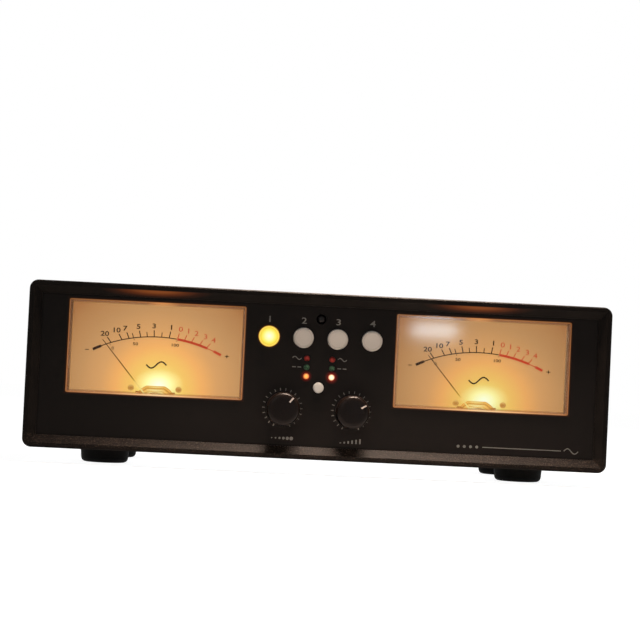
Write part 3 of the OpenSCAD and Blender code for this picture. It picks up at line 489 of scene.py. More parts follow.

# %% [markdown]
# Light also leaves the lenses and is painted on: it lies orange on the bevel over each window, and
# rings of it lie on the panel round the lit button and the lit lamps. A warm lamp from above shows
# the grain of the frame, but only on its lower bevel, which faces the lamp, so lighter grains are
# painted there as a highlight, masked to that bevel.

# %% Light that spills on the case
ORANGE = [(0, (0.22, 0.055, 0.011)), (0.25, (0.19, 0.046, 0.008)), (0.5, (0.09, 0.018, 0.003)),
          (0.75, (0.02, 0.004, 0.001)), (1, DARK)]
ORANGE_XS = (-84.5, 80.0)
ORANGE_Z = 82.2
TOP_BEVEL = [("Y", 0.1, 4.2), ("Z", 78.0, 82.75)]
LOWER_BEVEL = ("Z", 0.8, 7.6)
spill(frame_black, [((x, 0, ORANGE_Z), 29, 4.0, ORANGE) for x in ORANGE_XS], TOP_BEVEL)


def brighten_grains(mat, size_mm, colour, mask):
    """Paint lighter grains where fine noise is high, inside a mask of (axis, first, last): a
    painted highlight where a lamp falls.
    """
    target = principled(mat).inputs["Base Color"]
    grains = ramp(mat, noise(mat, size_mm, detail=1.0), [(0, DARK), (0.52, DARK), (0.68, colour)])
    grains = mixed(mat, "MULTIPLY", grains, between(mat, *mask, fade_mm=0.8))
    wire(mat, mixed(mat, "ADD", target.links[0].from_socket, grains), target)


# Painted highlight: lighter grains only on the lower bevel, where the warm lamp falls.
brighten_grains(frame_black, 0.6, (0.022, 0.0158, 0.0118), LOWER_BEVEL)
NEAR_LAMP = [(0, (1, 0.86, 0.4)), (0.4, (0.95, 0.66, 0.2)), (0.75, (0.5, 0.2, 0.04)), (1, DARK)]
for metal in (brass_lit, copper_lit, iron_lit):
    spill(metal, [((sign * METER_X, 0, PIVOT + 6.5), 14, 6.5, NEAR_LAMP) for sign in (-1, 1)])
RED_RING = [(0, (0.2, 0.008, 0.004)), (0.5, (0.2, 0.008, 0.004)), (0.68, (0.06, 0.003, 0.002)),
            (1, DARK)]
GOLD_RING = [(0, (0.06, 0.02, 0.003)), (0.87, (0.05, 0.014, 0.003)),
             (0.93, (0.012, 0.004, 0.001)), (1, DARK)]
spill(panel_black, [((-LED_X, 0, LED_ZS[2]), 3.0, None, RED_RING),
                    ((LED_X, 0, LED_ZS[2]), 3.5, None, RED_RING),
                    ((BUTTON_XS[0], 0, BUTTON_Z), 6.3, None, GOLD_RING)])
print("nodes in the frame's finish:", len(frame_black.node_tree.nodes))


# %% The windows' edges
WINDOW_GAP = 0.2       # from the panel's cut edge to the lens, all round


def inside_window(mat, side, unit_mm):
    """How far a point lies inside a window's edge, counted in units: the smaller of the ways to the
    nearest upright side and to the nearest level side. Outside the window it is less than zero."""
    ways = []
    for axis, middle, size in (("X", SIDES[side] * METER_X, WINDOW_W), ("Z", WINDOW_MID, WINDOW_H)):
        away = math_node(mat, "ABSOLUTE", past(mat, axis, middle))
        ways.append(math_node(mat, "SUBTRACT", (size / 2 - WINDOW_GAP) * MM, away))
    return math_node(mat, "MULTIPLY", math_node(mat, "MINIMUM", *ways), 1 / (unit_mm * MM))


def window_rim(mat, side):
    """Warm light on the cut edge of the panel just outside a window, added to what is there."""
    rim = ramp(mat, inside_window(mat, side, -1.0), greys((0, 1), (0.7, 0.6), (1, 0)))
    fall = ramp(mat, distance_from(mat, lamp_place(side), LAMP_REACH),
                [(0, (0.05, 0.009, 0.0015)), (0.4, (0.03, 0.006, 0.001)),
                 (1, (0.008, 0.002, 0.0))])
    target = principled(mat).inputs["Emission Color"]
    lit = mixed(mat, "ADD", target.links[0].from_socket, mixed(mat, "MULTIPLY", rim, fall))
    wire(mat, lit, target)


for side in SIDES:
    window_rim(panel_black, side)
print("nodes in the panel's finish:", len(panel_black.node_tree.nodes))

# %% [markdown]
# A true glass shader would darken the dial and needs many samples, so the clear cover is a gloss
# that is seen through. Only its wall, seen edge-on round the window, is nearly solid.


# %% The clear covers
def clear_plastic(side):
    """See-through in the middle. Near the edge of the lens, where its wall runs back from the
    front, the plastic is lit by painted light, and the edge is brightest beside the lamp. A painted
    highlight lies along the top edge."""
    mat = new_finish(f"clear_plastic_{side}", (0.05, 0.03, 0.015), 0.065, specular=0.4)
    edge = inside_window(mat, side, 3.0)
    tone = ramp(mat, edge,
                [(0, (0.5, 0.42, 0.36)), (0.08, (1, 0.95, 0.9)), (0.17, (0.9, 0.8, 0.7)),
                 (0.22, (0.3, 0.18, 0.1)), (0.4, (0.34, 0.22, 0.12)), (0.46, (0.16, 0.08, 0.03)),
                 (0.55, DARK)])
    fall = ramp(mat, distance_from(mat, lamp_place(side), LAMP_REACH),
                [(0, (1, 0.8, 0.5)), (0.2, (0.95, 0.56, 0.27)), (0.4, (0.62, 0.31, 0.13)),
                 (0.7, (0.4, 0.165, 0.06)), (1, (0.27, 0.11, 0.035))])
    # A painted highlight of orange lamp light lies along the top edge of each lens, a little toward
    # the middle of the case.
    top_glow_place = (SIDES[side] * (METER_X - 2.5), 0, WINDOW_TOP - 1.2)
    top_glow = ramp(mat, distance_from(mat, top_glow_place, 9, 1.3),
                [(0, (0.45, 0.2, 0.055)), (0.6, (0.22, 0.085, 0.02)), (1, DARK)])
    give_off(mat, mixed(mat, "ADD", mixed(mat, "MULTIPLY", tone, fall), top_glow))
    solid = greys((0, 1), (0.15, 0.95), (0.22, 0.45), (0.4, 0.4), (0.46, 0.34), (0.55, 0.14),
                  (1, 0.14))
    wire(mat, ramp(mat, edge, solid), principled(mat).inputs["Alpha"])
    return mat


# %% Glowing plastic, ink and the pointers
def lit_plastic(name, colour, centre_mm, reach_mm, stops, roughness=0.3, strength=1, specular=0.1):
    """Plastic lit from inside, by a ramp of its distance from a centre."""
    mat = new_finish(name, colour, roughness, specular=specular)
    spill(mat, [(centre_mm, reach_mm, None, stops)], strength=strength)
    return mat


def ink(name, colour):
    """Screen-printed ink: a matt, slightly uneven coat."""
    return grained(name, colour, 0.6, specular=0.1, grain_mm=0.3, bump_mm=0.004, wander=0.12,
                   blotch_mm=2)


def pointer_black(side):
    """A black pointer, which the lamp lights where it passes near: by distance from its pivot, so
    the light stays right as the pointer swings."""
    lit = [(0, (1, 0.9, 0.35)), (0.2, (1, 0.82, 0.27)), (0.3, (1, 0.66, 0.18)),
           (0.35, (0.5, 0.28, 0.03)), (0.45, (0.16, 0.07, 0.008)), (0.8, (0.015, 0.006, 0.002))]
    pivot = (SIDES[side] * METER_X, 0, PIVOT)
    return lit_plastic(f"pointer_black_{side}", (0.01, 0.006, 0.004), pivot, 50, lit,
                       roughness=0.6, strength=1.15, specular=0.02)


dial_ink = ink("dial_ink", (0.035, 0.013, 0.004))
panel_ink = ink("panel_ink", (0.09, 0.088, 0.082))
white_ink = ink("white_ink", (0.4, 0.36, 0.33))
# The red print's glow is painted backlight: an even red light from the lamp behind the dial.
dial_red_lit = new_finish("dial_red_lit", (0.3, 0.03, 0.012), 0.6, specular=0.1)
give_off(dial_red_lit, (0.42, 0.035, 0.012))
bulb_lit = new_finish("bulb_lit", (0.8, 0.7, 0.45), 0.2)
give_off(bulb_lit, (1, 0.86, 0.4), strength=2.5)
# The dial screws are dark. Their lamp light is painted: a glow by distance from each screw, dimmest
# at its middle and brighter away from it.
lamp_lit_screw = new_finish("lamp_lit_screw", (0.1, 0.05, 0.02), 0.4, specular=0.03)
SCREW_X, SCREW_Z = 12.25, PIVOT + 8.6      # a dial screw's place, counted from its meter's middle
SCREW_LAMPLIGHT = [(0, (0.5, 0.22, 0.04)), (0.22, (0.66, 0.33, 0.07)), (0.45, (0.86, 0.52, 0.14)),
         (0.95, (0.92, 0.6, 0.18)), (1, DARK)]
spill(lamp_lit_screw, [((sign * METER_X + x, 0, SCREW_Z), 6.0, 3.2, SCREW_LAMPLIGHT)
                    for sign in (-1, 1) for x in (-SCREW_X, SCREW_X)])
print(len(bpy.data.materials), "finishes so far")

# %% Materials on the CAD parts that keep their own shape
KEPT = {
    frame_black: ["front_frame"],
    panel_black: ["front_panel"],
    cover_black: ["top_cover", "rear_panel"],
    tray_zinc: ["chassis_tray"],
    rubber_black: ["sensor_grommet"],
    bright_zinc: ["foot_screws", "meter_clips", "panel_nuts", "board_spacers", "potentiometers",
                  "knob_shaft_left", "knob_shaft_right"],
    lamp_lit_screw: ["dial_screws"],
    black_oxide: ["case_screws"],
    moulded_black: ["button_switches", "jack_housings", "power_jack", "power_switch",
                    "power_rocker"],
    board_green: ["control_board", "main_board"],
    brass_yellow: ["meter_terminals"],
    brass_lit: ["hairsprings", "movement_frame_left", "movement_frame_right"],
    copper_lit: ["moving_coil_left", "moving_coil_right"],
    iron_lit: ["yoke_ring_left", "yoke_ring_right", "core_magnets"],
    relay_orange: ["relays"],
    case_ivory: ["meter_case_left", "meter_case_right"],
    bulb_lit: ["meter_lamps"],
}
for side in SIDES:
    KEPT[dial_paper(side)] = [f"dial_plate_{side}"]
    KEPT[clear_plastic(side)] = [f"meter_cover_{side}"]
    KEPT[pointer_black(side)] = [f"pointer_{side}"]
for material, names in KEPT.items():
    for name in names:
        for slot in nodes[name].material_slots:
            slot.link = "OBJECT"
            slot.material = material
print(sum(map(len, KEPT.values())), "CAD nodes dressed, their meshes untouched")

# %% [markdown]
# ## The printed scale
#
# The scale is a flat arc of much larger radius than the pointer, a common layout for a wide
# meter, while its marks still point at the pivot. So the arc has its own centre, far under the
# window, and each mark starts where a ray from the pivot meets that arc.

# %% The geometry of the scale
DIAL = 11.9            # depth of the dial's printed face
ARC_R = 73.0
ARC_LOW = 37.6         # the arc's centre lies this far under the pivot


def on_ray(degrees, beyond=0.0):
    """The point where a ray from the pivot, at an angle left of straight up, meets the arc, moved
    outwards by 'beyond'. The distance s solves (s sin a)^2 + (ARC_LOW + s cos a)^2 = ARC_R^2."""
    a = np.radians(degrees)
    s = -ARC_LOW * np.cos(a) + np.sqrt(ARC_R**2 - (ARC_LOW * np.sin(a)) ** 2) + beyond
    return -s * np.sin(a), PIVOT + s * np.cos(a)


def scale_line(first, last, width):
    """A stretch of the arc between two rays."""
    count = max(2, int(abs(last - first) * 1.5))
    return line_along(*on_ray(np.linspace(first, last, count)), width, DIAL)


def tick(degrees, length, width, start=0.0):
    """A short mark along a ray."""
    x, height = np.stack([on_ray(degrees, start), on_ray(degrees, start + length)], axis=-1)
    return line_along(x, height, width, DIAL)


def label(text, degrees, beyond, tall, bold=0.02):
    """A number that stands on a ray."""
    x, height = on_ray(degrees, beyond)
    return glyphs(text, tall, float(x), float(height), DIAL, bold=bold)


print(f"straight up, the arc is {on_ray(0)[1] - PIVOT:.1f} mm over the pivot")

# %% Black and red printing
BLACK_MARKS = [(37.1, "20"), (28.9, "10"), (23.3, "7"), (19.7, ""), (14.0, "5"), (8.6, ""),
               (2.9, "3"), (-3.3, ""), (-9.6, "1")]
RED_MARKS = [(-16.3, "0"), (-21.9, "1"), (-27.5, "2"), (-33.8, "3"), (-39.3, "4")]
PERCENT_MARKS = [(38.5, "0"), (19.7, "50"), (-16.3, "100")]
NUMERAL, SMALL_NUMERAL = 2.55, 1.6
MINUS_X, MINUS_Z = (-36.9, -34.9), WINDOW_TOP - 25.8
PLUS_X, PLUS_Z = 36.0, WINDOW_TOP - 26.0
WAVE_HALF, WAVE_TALL, WAVE_Z = 5.2, 1.7, WINDOW_TOP - 32.1
PRINT_SHIFT = {"left": 0.2, "right": -0.8}   # the cards sit a little off their windows' middles
wave_x = np.linspace(-WAVE_HALF, WAVE_HALF, 40)
wave = line_along(wave_x, WAVE_Z + WAVE_TALL * np.sin(wave_x / WAVE_HALF * np.pi), 0.75, DIAL)
black_print = [scale_line(44.5, -15.8, 0.5), scale_line(50.1, 44.2, 1.35), wave]
black_print += [tick(a, 3.4 if text else 2.5, 0.52 if text else 0.44) for a, text in BLACK_MARKS]
black_print += [label(text, a, 5.6, NUMERAL) for a, text in BLACK_MARKS if text]
black_print += [label(text, a, -3.2, SMALL_NUMERAL) for a, text in PERCENT_MARKS]
black_print += [tick(a, 0.9, 0.25, start=-1.3) for a, text in PERCENT_MARKS]
black_print += [glyphs("+", 1.7, PLUS_X, PLUS_Z, DIAL),
                line_along(MINUS_X, [MINUS_Z] * 2, 0.4, DIAL)]
red_print = [scale_line(-16.3, -40.0, 1.25), scale_line(-40.0, -44.9, 0.4),
             scale_line(-44.7, -50.0, 1.35)]
red_print += [tick(a, 3.1, 0.42) for a, text in RED_MARKS]
red_print += [label(text, a, 5.5, NUMERAL, bold=0.0) for a, text in RED_MARKS]
for side, sign in SIDES.items():
    for colour, material, parts in (("black", dial_ink, black_print),
                                    ("red", dial_red_lit, red_print)):
        card = moved(joined(parts), sign * METER_X + PRINT_SHIFT[side])
        make_piece(f"dial_{colour}_print_{side}", card, material, "case")

# %% [markdown]
# ## The shade over each lamp
#
# A small moulded arch stands in front of the lamp and hides the middle of the movement. Its
# raised lips look darker than the glowing wall between them. The wall is a strip between an inner
# circle and an outline that is a circle with its top cut flat, so one angle and one step across
# are enough to describe every point.

# %% The arch, its lips and its feet
ARCH_IN, ARCH_OUT, ARCH_FLAT = 6.9, 11.2, 10.2
ARCH_SHIFT = {"left": 0.5, "right": -1.5}   # the two shades don't sit quite alike
ARCH_FRONT, ARCH_BACK = 10.4, 11.85
arch_turn = np.radians(np.linspace(-63, 63, 64))
arch_outline = np.minimum(ARCH_OUT, ARCH_FLAT / np.cos(arch_turn))


def round_pivot(radius):
    """The points of the front plane at each turn of the arch, for one radius or one for each."""
    return radius * np.sin(arch_turn), PIVOT + radius * np.cos(arch_turn)


def arch_wall(shift):
    """Four corners at each turn, inner and outer, front and back. The outline stands 'shift' to one
    side. The inner circle stays round the pivot, clear of the pointer."""
    inner, outer = round_pivot(ARCH_IN), round_pivot(arch_outline)
    corners = [(inner, 0, ARCH_FRONT), (outer, shift, ARCH_FRONT), (outer, shift, ARCH_BACK),
               (inner, 0, ARCH_BACK)]
    return bar(np.stack([np.stack([x + aside, np.full_like(x, depth), height], axis=-1)
                         for (x, height), aside, depth in corners], axis=1))


ARCH_GLOW = [(0, (1, 0.95, 0.5)), (0.35, (1, 0.85, 0.3)), (0.6, (0.97, 0.56, 0.11)),
             (1, (0.93, 0.42, 0.07))]
LIP_GLOW = [(0, (0.86, 0.5, 0.1)), (0.5, (0.74, 0.38, 0.06)), (0.8, (0.5, 0.2, 0.03)),
            (1, (0.3, 0.1, 0.012))]
LIPS = ((0.15, 0.16), (1.4, 0.75), (3.05, 0.4))     # inset from the outline, and width
ARCH_FEET, FOOT_LONG, ARCH_FOOT_Z = (-10.2, 7.0), 3.0, WINDOW_TOP - 46.3
for side, sign in SIDES.items():
    middle = sign * METER_X + ARCH_SHIFT[side]
    centre = (middle, 0, PIVOT + 5.6)
    wall_glow = lit_plastic(f"shade_glow_{side}", (0.2, 0.1, 0.03), centre, 9.5, ARCH_GLOW)
    make_piece(f"lamp_arch_{side}", moved(arch_wall(ARCH_SHIFT[side]), sign * METER_X), wall_glow,
               "case", [f"lamp_shade_{side}"])
    lips = [line_along(*round_pivot(arch_outline - inset), width, ARCH_FRONT, thick=0.25)
            for inset, width in LIPS]
    lips += [line_along([start, start + FOOT_LONG], [ARCH_FOOT_Z] * 2, 0.9, ARCH_FRONT, thick=0.3)
             for start in ARCH_FEET]
    lip_glow = lit_plastic(f"shade_lip_{side}", (0.15, 0.07, 0.02), centre, 11, LIP_GLOW)
    make_piece(f"arch_lips_{side}", moved(joined(lips), middle), lip_glow, "case")

# %% [markdown]
# ## Buttons, lamps and the sensor
#
# The selector buttons are plain turned caps with a softened rim. One of them is lit from inside.
# A profile drawn as a few corners, which the softening rounds off, gives the soft highlight that a
# sharp edge would lose. The part behind the panel follows the CAD model: a collar and a stem.

# %% Button caps
COLLAR = 6.1           # depth of the collar's front
STEM_R, SWITCH_END = 1.6, 12.4
CAP_FRONT = 2.2


def button_shape(radius, dome, rim):
    """Profile from the pole of a slightly domed face over a soft rim to the collar and the stem."""
    r = np.linspace(0, radius - rim, 9)
    face = np.stack([r, CAP_FRONT + dome * (r / radius) ** 2], axis=-1)
    side = softened([face[-1], [radius, CAP_FRONT + dome], [radius, COLLAR]], rim * 0.9)
    back = [[radius + 0.7, COLLAR], [radius + 0.7, COLLAR + 1], [STEM_R, COLLAR + 1],
            [STEM_R, SWITCH_END], [0, SWITCH_END]]
    return turned(np.concatenate([face, side[1:], back]))


def pale_plastic(name, colour, x):
    """Milky plastic over a lamp that is off, a little darker in a faint ring just inside its rim.
    """
    mat = grained(name, colour, 0.35, specular=0.25, grain_mm=0.5, bump_mm=0.002, wander=0.04)
    target = principled(mat).inputs["Base Color"]
    ring = ramp(mat, distance_from(mat, (x, 0, BUTTON_Z), BUTTON_R),
                greys((0, 1), (0.74, 1), (0.82, 0.8), (0.92, 1)))
    wire(mat, mixed(mat, "MULTIPLY", target.links[0].from_socket, ring), target)
    return mat


LIT_BUTTON = [(0, (0.9, 0.93, 0.8)), (0.38, (0.9, 0.9, 0.38)), (0.6, (0.88, 0.82, 0.13)),
              (0.74, (0.86, 0.7, 0.06)), (0.8, (0.78, 0.54, 0.03)), (0.86, (0.88, 0.74, 0.12)),
              (0.95, (0.84, 0.55, 0.07)), (1, (0.55, 0.2, 0.02))]
SMALL_Z = 36.8
for number, x in enumerate(BUTTON_XS, 1):
    if number == 1:
        finish = lit_plastic("button_glow", (0.1, 0.07, 0.02), (x, 0, BUTTON_Z), 5.4, LIT_BUTTON)
    else:
        finish = pale_plastic(f"button_milk_{number}", (0.275, 0.26, 0.235), x)
    make_piece(f"selector_cap_{number}",
               moved(button_shape(BUTTON_R, dome=0.25, rim=0.7), x, 0, BUTTON_Z),
               finish, f"selector_{number}",
               [f"selector_button_{number}"])
small_white = grained("small_white", (0.35, 0.345, 0.325), 0.4, specular=0.1, grain_mm=0.5,
                      bump_mm=0.002)
make_piece("small_cap", moved(button_shape(2.6, dome=0.2, rim=0.5), 0, 0, SMALL_Z),
           small_white, "small_push", ["small_button"])

# %% [markdown]
# The indicator lamps are moulded domes on two wires, and the remote sensor is a larger black one.
# Red and green are off. The two amber ones are lit: a hot middle in a red rim.


# %% Indicator lamps
def lamp_shape(radius, dome_front, back):
    """A dome, which is a quarter circle of profile, on a cylinder with a rim at its end."""
    t = np.linspace(0, np.pi / 2, 12)
    dome = np.stack([radius * np.sin(t), dome_front + radius * (1 - np.cos(t))], axis=-1)
    rim = [[radius, back - 1], [radius + 0.35, back - 1], [radius + 0.35, back], [0, back]]
    return turned(np.concatenate([dome, rim]), turns=48)


def lamp_legs(x, height, spread, start, end):
    """Two square wires that carry the lamp on the board."""
    return [line_along([x + leg, x + leg], [height - 0.25, height + 0.25], 0.5, (start + end) / 2,
                       thick=(end - start) / 2) for leg in (-spread, spread)]


LED_R, LED_FRONT, LED_BACK, BOARD = 1.5, 3.2, 11.0, 14.0
HOT = [(0, (0.98, 0.64, 0.12)), (0.4, (0.96, 0.5, 0.12)), (0.7, (0.92, 0.32, 0.08)),
       (0.9, (0.4, 0.06, 0.012)), (1, (0.15, 0.01, 0.004))]
HOTTER = [(0, (1, 0.99, 0.8)), (0.65, (1, 0.93, 0.6)), (0.85, (0.97, 0.62, 0.3)),
          (0.95, (0.7, 0.2, 0.06)), (1, (0.4, 0.05, 0.012))]


def led_shapes(sign, row):
    """One indicator lamp and its legs, left or right of the middle, in a row."""
    lamp = moved(lamp_shape(LED_R, LED_FRONT, LED_BACK), sign * LED_X, 0, LED_ZS[row])
    return [lamp], lamp_legs(sign * LED_X, LED_ZS[row], 0.8, LED_BACK, BOARD)


for row, (colour, dull) in enumerate({"red": (0.15, 0.02, 0.017),
                                      "green": (0.026, 0.056, 0.034)}.items()):
    finish = grained(f"led_dull_{colour}", dull, 0.5, specular=0.03, grain_mm=1, bump_mm=0.0005,
                     wander=0.05)
    lamps, legs = zip(*(led_shapes(sign, row) for sign in (-1, 1)))
    make_piece(f"{colour}_lamps", joined(sum(lamps, []) + sum(legs, [])), finish,
               "case", [f"{colour}_leds"])
for (side, sign), stops in zip(SIDES.items(), (HOT, HOTTER)):
    finish = lit_plastic(f"led_glow_{side}", (0.1, 0.02, 0.006), (sign * LED_X, 0, LED_ZS[2]), 1.6,
                         stops)
    make_piece(f"amber_lamp_{side}", joined(sum(led_shapes(sign, 2), [])), finish,
               "case", ["amber_leds"])

# %% The remote sensor
SENSOR_Z, SENSOR_R, SENSOR_FRONT = 71.9, 2.5, 4.2
sensor_gloss = grained("sensor_gloss", (0.006, 0.005, 0.005), 0.16, specular=0.08, grain_mm=1,
                       bump_mm=0.001)
sensor = moved(lamp_shape(SENSOR_R, SENSOR_FRONT, LED_BACK), 0, 0, SENSOR_Z)
make_piece("sensor_dome", joined([sensor] + lamp_legs(0, SENSOR_Z, 1.2, LED_BACK, BOARD)),
           sensor_gloss, "case", ["remote_sensor"])

# %% [markdown]
# ## Knobs
#
# Each knob is satin black and slightly rounded where its side meets the cap. That rounding is the
# whole look: it catches a bright arc of light along the top. A white line in a groove shows where
# the knob points. The knob and its line ride on the body that turns, so the pointer turns too.

# %% Turned knobs
KNOB_R, KNOB_FRONT, KNOB_END = 8.5, -10.8, 3.2
BORE_R, BORE_END, SHAFT_R = 6.3, -0.2, 3.2
KNOB_TURN = {"left": 40, "right": 61}       # degrees clockwise from straight up
MARK_START, MARK_END, MARK_WIDE = 4.7, 7.6, 0.75
knob_satin = grained("knob_satin", (0.0028, 0.0016, 0.0011), 0.28, specular=0.055,
                     grain_mm=0.35, bump_mm=0.0012, wander=0.05, blotch_mm=6)
knob_face = [[0, KNOB_FRONT], [2.5, KNOB_FRONT + 0.01], [5.0, KNOB_FRONT + 0.05]]
knob_side = softened([knob_face[-1], [KNOB_R, KNOB_FRONT + 0.15], [KNOB_R, KNOB_FRONT + 4.0],
                      [KNOB_R, KNOB_END - 0.4], [KNOB_R - 0.3, KNOB_END]], [3.0, 0.4, 0.3], 14)
knob_back = [[BORE_R, KNOB_END], [BORE_R, BORE_END], [SHAFT_R, BORE_END], [0, BORE_END]]
knob_profile = np.concatenate([knob_face, knob_side[1:], knob_back])
for side, angle in KNOB_TURN.items():
    centre = (SIDES[side] * KNOB_X, 0, KNOB_Z)
    make_piece(f"turned_knob_{side}", moved(turned(knob_profile, turns=128), *centre),
               knob_satin, f"control_{side}", [f"knob_{side}"])
    mark = line_along([0, 0], [MARK_START, MARK_END], MARK_WIDE, KNOB_FRONT + 0.35, thick=0.33)
    make_piece(f"knob_mark_{side}", moved(rolled(mark, angle), *centre), white_ink,
               f"control_{side}")

# %% [markdown]
# ## Printing on the panel
#
# Rings of fine marks go round the knobs, and plain numbers stand over the selector buttons. A wave
# and two dashes stand beside the lamps, growing dots under the left knob and rising bars under the
# right one, and four dots, a line and a wave at the lower right. A picture of the print on a plane
# would blur close by, so every mark is a thin solid of ink.

# %% Marks and numbers
TICKS, TICK_FIRST, TICK_STEP = 20, -155, 16.3       # a count and degrees
TICK_R = np.array([8.95, 10.3])
RING_SHIFT = 0.3       # the rings sit a little up and to the left of the knobs
SIGN_Z = 10.4
panel_print = []
for sign in SIDES.values():
    for turn in np.radians(TICK_FIRST + TICK_STEP * np.arange(TICKS)):
        mark = line_along(TICK_R * math.sin(turn), TICK_R * math.cos(turn), 0.42, PANEL)
        panel_print.append(moved(mark, sign * KNOB_X - RING_SHIFT, 0, KNOB_Z + RING_SHIFT))
for number, x in enumerate(BUTTON_XS, 1):
    panel_print.append(glyphs(str(number), 3.2, x, BUTTON_Z + 8.8, PANEL))
for k in range(6):
    x = (k - 2.5) * 2.0
    panel_print.append(line_along([KNOB_X + x] * 2, [9.0, 9.5 + 0.42 * k], 0.8, PANEL))
    panel_print.append(disc_print(-KNOB_X + x, 10.3, 0.3 + 0.13 * k))
wave_run = np.linspace(0, 4.6, 20)
wave_rise = np.sin(wave_run / 2.3 * np.pi)
for sign in SIDES.values():
    start = sign * 11.6 - 2.3
    panel_print.append(line_along(start + wave_run, LED_ZS[0] + 0.75 * wave_rise, 0.45, PANEL))
    panel_print += [line_along([start + gap, start + gap + 1.9], [LED_ZS[1]] * 2, 0.5, PANEL)
                    for gap in (0, 2.7)]
panel_print += [disc_print(73 + 3.2 * k, SIGN_Z, 0.75) for k in range(4)]
panel_print.append(line_along([85.5, 126.0], [SIGN_Z] * 2, 0.45, PANEL))
panel_print.append(line_along(127.5 + wave_run * 1.6, SIGN_Z + 1.3 * wave_rise, 0.5, PANEL))
make_piece("panel_print", joined(panel_print), panel_ink, "case")

# %% [markdown]
# ## Feet and sockets
#
# The feet are moulded rubber with a rounded lower edge. At the back, each signal socket is a
# gold-coloured barrel round a white or red insulator with a hole for the plug's pin.

# %% Rubber feet
FOOT_X = 110.0
FOOT_DEPTHS = {"front": 46.0, "rear": 118.0}
FOOT_H = 8.0           # height of the frame's underside over the table


def foot_shape():
    """A foot is turned about an upright axis, so the lathe's depth becomes its height."""
    profile = softened([[1.7, 5.0], [4.5, 5.0], [4.5, 0.0], [12.2, 0.0], [13.0, 9.0],
                        [13.0, 10.0], [1.7, 10.0]], [0.2, 0.4, 2.7, 0.3, 0.3])
    points, faces = turned(np.concatenate([profile, profile[:1]]), turns=72)
    x, depth, height = points.T
    return np.stack([x, height, depth - FOOT_H], axis=-1), [face[::-1] for face in faces]


for end, depth in FOOT_DEPTHS.items():
    for side, sign in SIDES.items():
        make_piece(f"rubber_foot_{end}_{side}", moved(foot_shape(), sign * FOOT_X, depth),
                   rubber_black, "case", [f"foot_{end}_{side}"])

# %% Signal sockets
SOCKET_XS = [-105.0, -85.0, -65.0, -45.0, -15.0]
BARREL_R = 4.15
barrel_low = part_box("jack_barrels")[0]
SOCKET_LOW = (barrel_low.z - ORIGIN[2]) / MM + BARREL_R
SOCKET_RISE = 14.0
barrel_profile = softened([[3.35, 151.0], [3.35, 158.5], [BARREL_R, 158.5], [BARREL_R, 150.2],
                           [3.95, 150.2], [3.95, 143.5], [0.0, 143.5]],
                          [0.1, 0.25, 0.1, 0.05, 0.05])
barrel_profile = np.concatenate([[[0.0, 151.0]], barrel_profile])
insulator_profile = softened([[0.0, 151.2], [1.6, 151.2], [1.6, 157.6], [3.3, 157.6],
                              [3.3, 150.9]], [0.1, 0.2, 0.2])
insulator_profile = np.concatenate([insulator_profile, [[0.0, 150.9]]])
milk_white = grained("milk_white", (0.6, 0.58, 0.54), 0.4, grain_mm=0.4, bump_mm=0.003)
signal_red = grained("signal_red", (0.42, 0.02, 0.015), 0.4, grain_mm=0.4, bump_mm=0.003)
barrels = [moved(turned(barrel_profile[::-1], turns=48), x, 0, SOCKET_LOW + rise)
           for x in SOCKET_XS for rise in (0, SOCKET_RISE)]
make_piece("socket_barrels", joined(barrels), brass_yellow, "case", ["jack_barrels"])
for name, finish, rise in (("red", signal_red, 0.0), ("white", milk_white, SOCKET_RISE)):
    rings = [moved(turned(insulator_profile[::-1], turns=40), x, 0, SOCKET_LOW + rise)
             for x in SOCKET_XS]
    make_piece(f"socket_rings_{name}", joined(rings), finish, "case")

# %% [markdown]
# ## Camera, light and floor
#
# The photograph was taken from about a metre away, a little left of the middle and at half the
# height of the case, with a camera that was rolled by nearly three degrees. The position comes from
# solving where the corners of the frame, the windows and the controls lie in the picture.
# The room is white and evenly lit. One warm lamp hangs over the front edge: it makes the arcs on
# the knobs and brings out the grain on the lower bevel, where the knobs leave their shadows. A
# small cool card far in front leaves its reflection in the right-hand lens.

# %% The camera
CAMERA = (-35.35, -1000.0, 41.38)      # x, depth and height of the camera
PAN, TILT, ROLL = 0.03438, 0.02998, 0.04819  # radians
FOCAL_PX, PICTURE_PX, SENSOR = 1963.0, 640, 36.0
ahead = Vector((math.sin(PAN) * math.cos(TILT), math.cos(PAN) * math.cos(TILT), math.sin(TILT)))
level = Vector((math.cos(PAN), -math.sin(PAN), 0))
upright = level.cross(ahead)
right_way = math.cos(ROLL) * level + math.sin(ROLL) * upright
up_way = -math.sin(ROLL) * level + math.cos(ROLL) * upright
lens = bpy.data.cameras.new("camera")
lens.sensor_width = SENSOR
lens.lens = SENSOR * FOCAL_PX / PICTURE_PX
camera = bpy.data.objects.new("camera", lens)
turn = Matrix((right_way, up_way, -ahead)).transposed().to_4x4()
camera.matrix_world = Matrix.Translation(Vector(np.array(CAMERA) * MM + ORIGIN)) @ turn
bpy.context.scene.collection.objects.link(camera)
bpy.context.scene.camera = camera
print("camera at", [round(v, 4) for v in camera.location], f"with a {lens.lens:.1f} mm lens")


# %% Lamps
def area_light(name, place_mm, aim_mm, size_mm, watts, colour, spread=180):
    """A rectangle of light at one point of the drawing, facing another."""
    data = bpy.data.lights.new(name, "AREA")
    data.shape, data.size, data.size_y = "RECTANGLE", size_mm[0] * MM, size_mm[1] * MM
    data.energy, data.color, data.spread = watts, colour, math.radians(spread)
    light = bpy.data.objects.new(name, data)
    place, aim = (Vector(np.array(point) * MM + ORIGIN) for point in (place_mm, aim_mm))
    facing = (aim - place).to_track_quat("-Z", "Y").to_matrix().to_4x4()
    light.matrix_world = Matrix.Translation(place) @ facing
    bpy.context.scene.collection.objects.link(light)


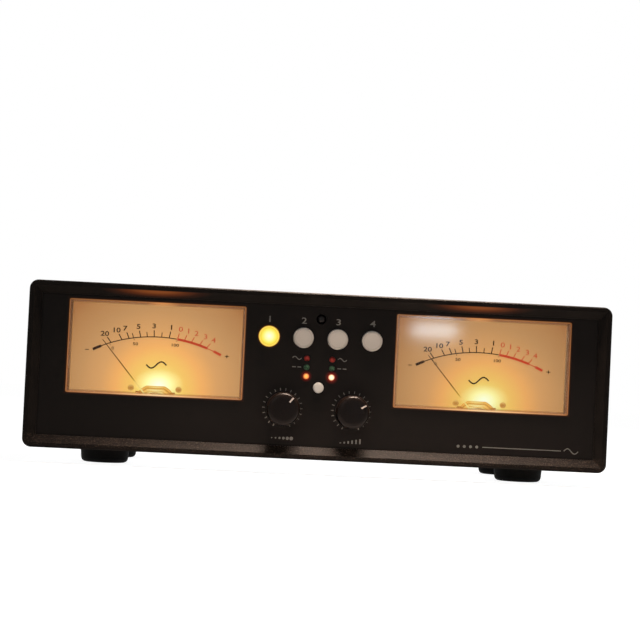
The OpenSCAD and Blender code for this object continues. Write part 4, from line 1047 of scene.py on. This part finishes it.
area_light("warm_overhead", (38, -14, 350), (38, -4, 20), (190, 60), 2.2, (1, 0.77, 0.62), 80)
area_light("soft_left", (-420, -1000, 460), (0, 0, 40), (500, 400), 1.7, (1, 0.97, 0.94))
area_light("soft_back", (300, 900, 900), (0, 100, 40), (900, 600), 6.0, (1, 1, 1))
area_light("glare_card", (161, -1100, 99.5), (56, 3, 70), (48, 12), 0.2, (0.7, 0.88, 1))
print(len(bpy.data.lights), "lamps")


# %% The white room and the floor
def seen_rays(owner):
    """1 for rays from the camera, from mirrors and through glass, and 0 for light that bounces."""
    path = add(owner, "ShaderNodeLightPath")
    seen = math_node(owner, "MAXIMUM", path.outputs["Is Camera Ray"], path.outputs["Is Glossy Ray"])
    return math_node(owner, "MAXIMUM", seen, path.outputs["Is Transmission Ray"])


ROOM_LIGHT = 0.3       # strength of the white room as a light, where seen it is 1
FLOOR_LIGHT = 0.86     # what the floor gives off where seen, so lamp light makes it white
FLOOR_HALF = 4         # metres
world = bpy.data.worlds.new("white_room")
bpy.context.scene.world = world
world.use_nodes = True
background = world.node_tree.nodes["Background"]
background.inputs["Color"].default_value = (1, 1, 1, 1)
strength = add(world, "ShaderNodeMapRange", To_Min=ROOM_LIGHT)
wire(world, seen_rays(world), strength.inputs["Value"])
wire(world, strength.outputs["Result"], background.inputs["Strength"])
floor_mesh = bpy.data.meshes.new("floor")
corners = [(x * FLOOR_HALF, y * FLOOR_HALF, 0) for x, y in ((-1, -1), (1, -1), (1, 1), (-1, 1))]
floor_mesh.from_pydata(corners, [], [(0, 1, 2, 3)])
floor = bpy.data.objects.new("floor", floor_mesh)
bpy.context.scene.collection.objects.link(floor)
floor_white = new_finish("floor_white", (0.45, 0.45, 0.45), 0.9, specular=0.0)
give_off(floor_white, (1, 1, 1))
wire(floor_white, math_node(floor_white, "MULTIPLY", seen_rays(floor_white), FLOOR_LIGHT),
     principled(floor_white).inputs["Emission Strength"])
floor_mesh.materials.append(floor_white)
print(f"a floor {2 * FLOOR_HALF} m wide")

# %% View settings
bpy.context.scene.view_settings.view_transform = "Standard"
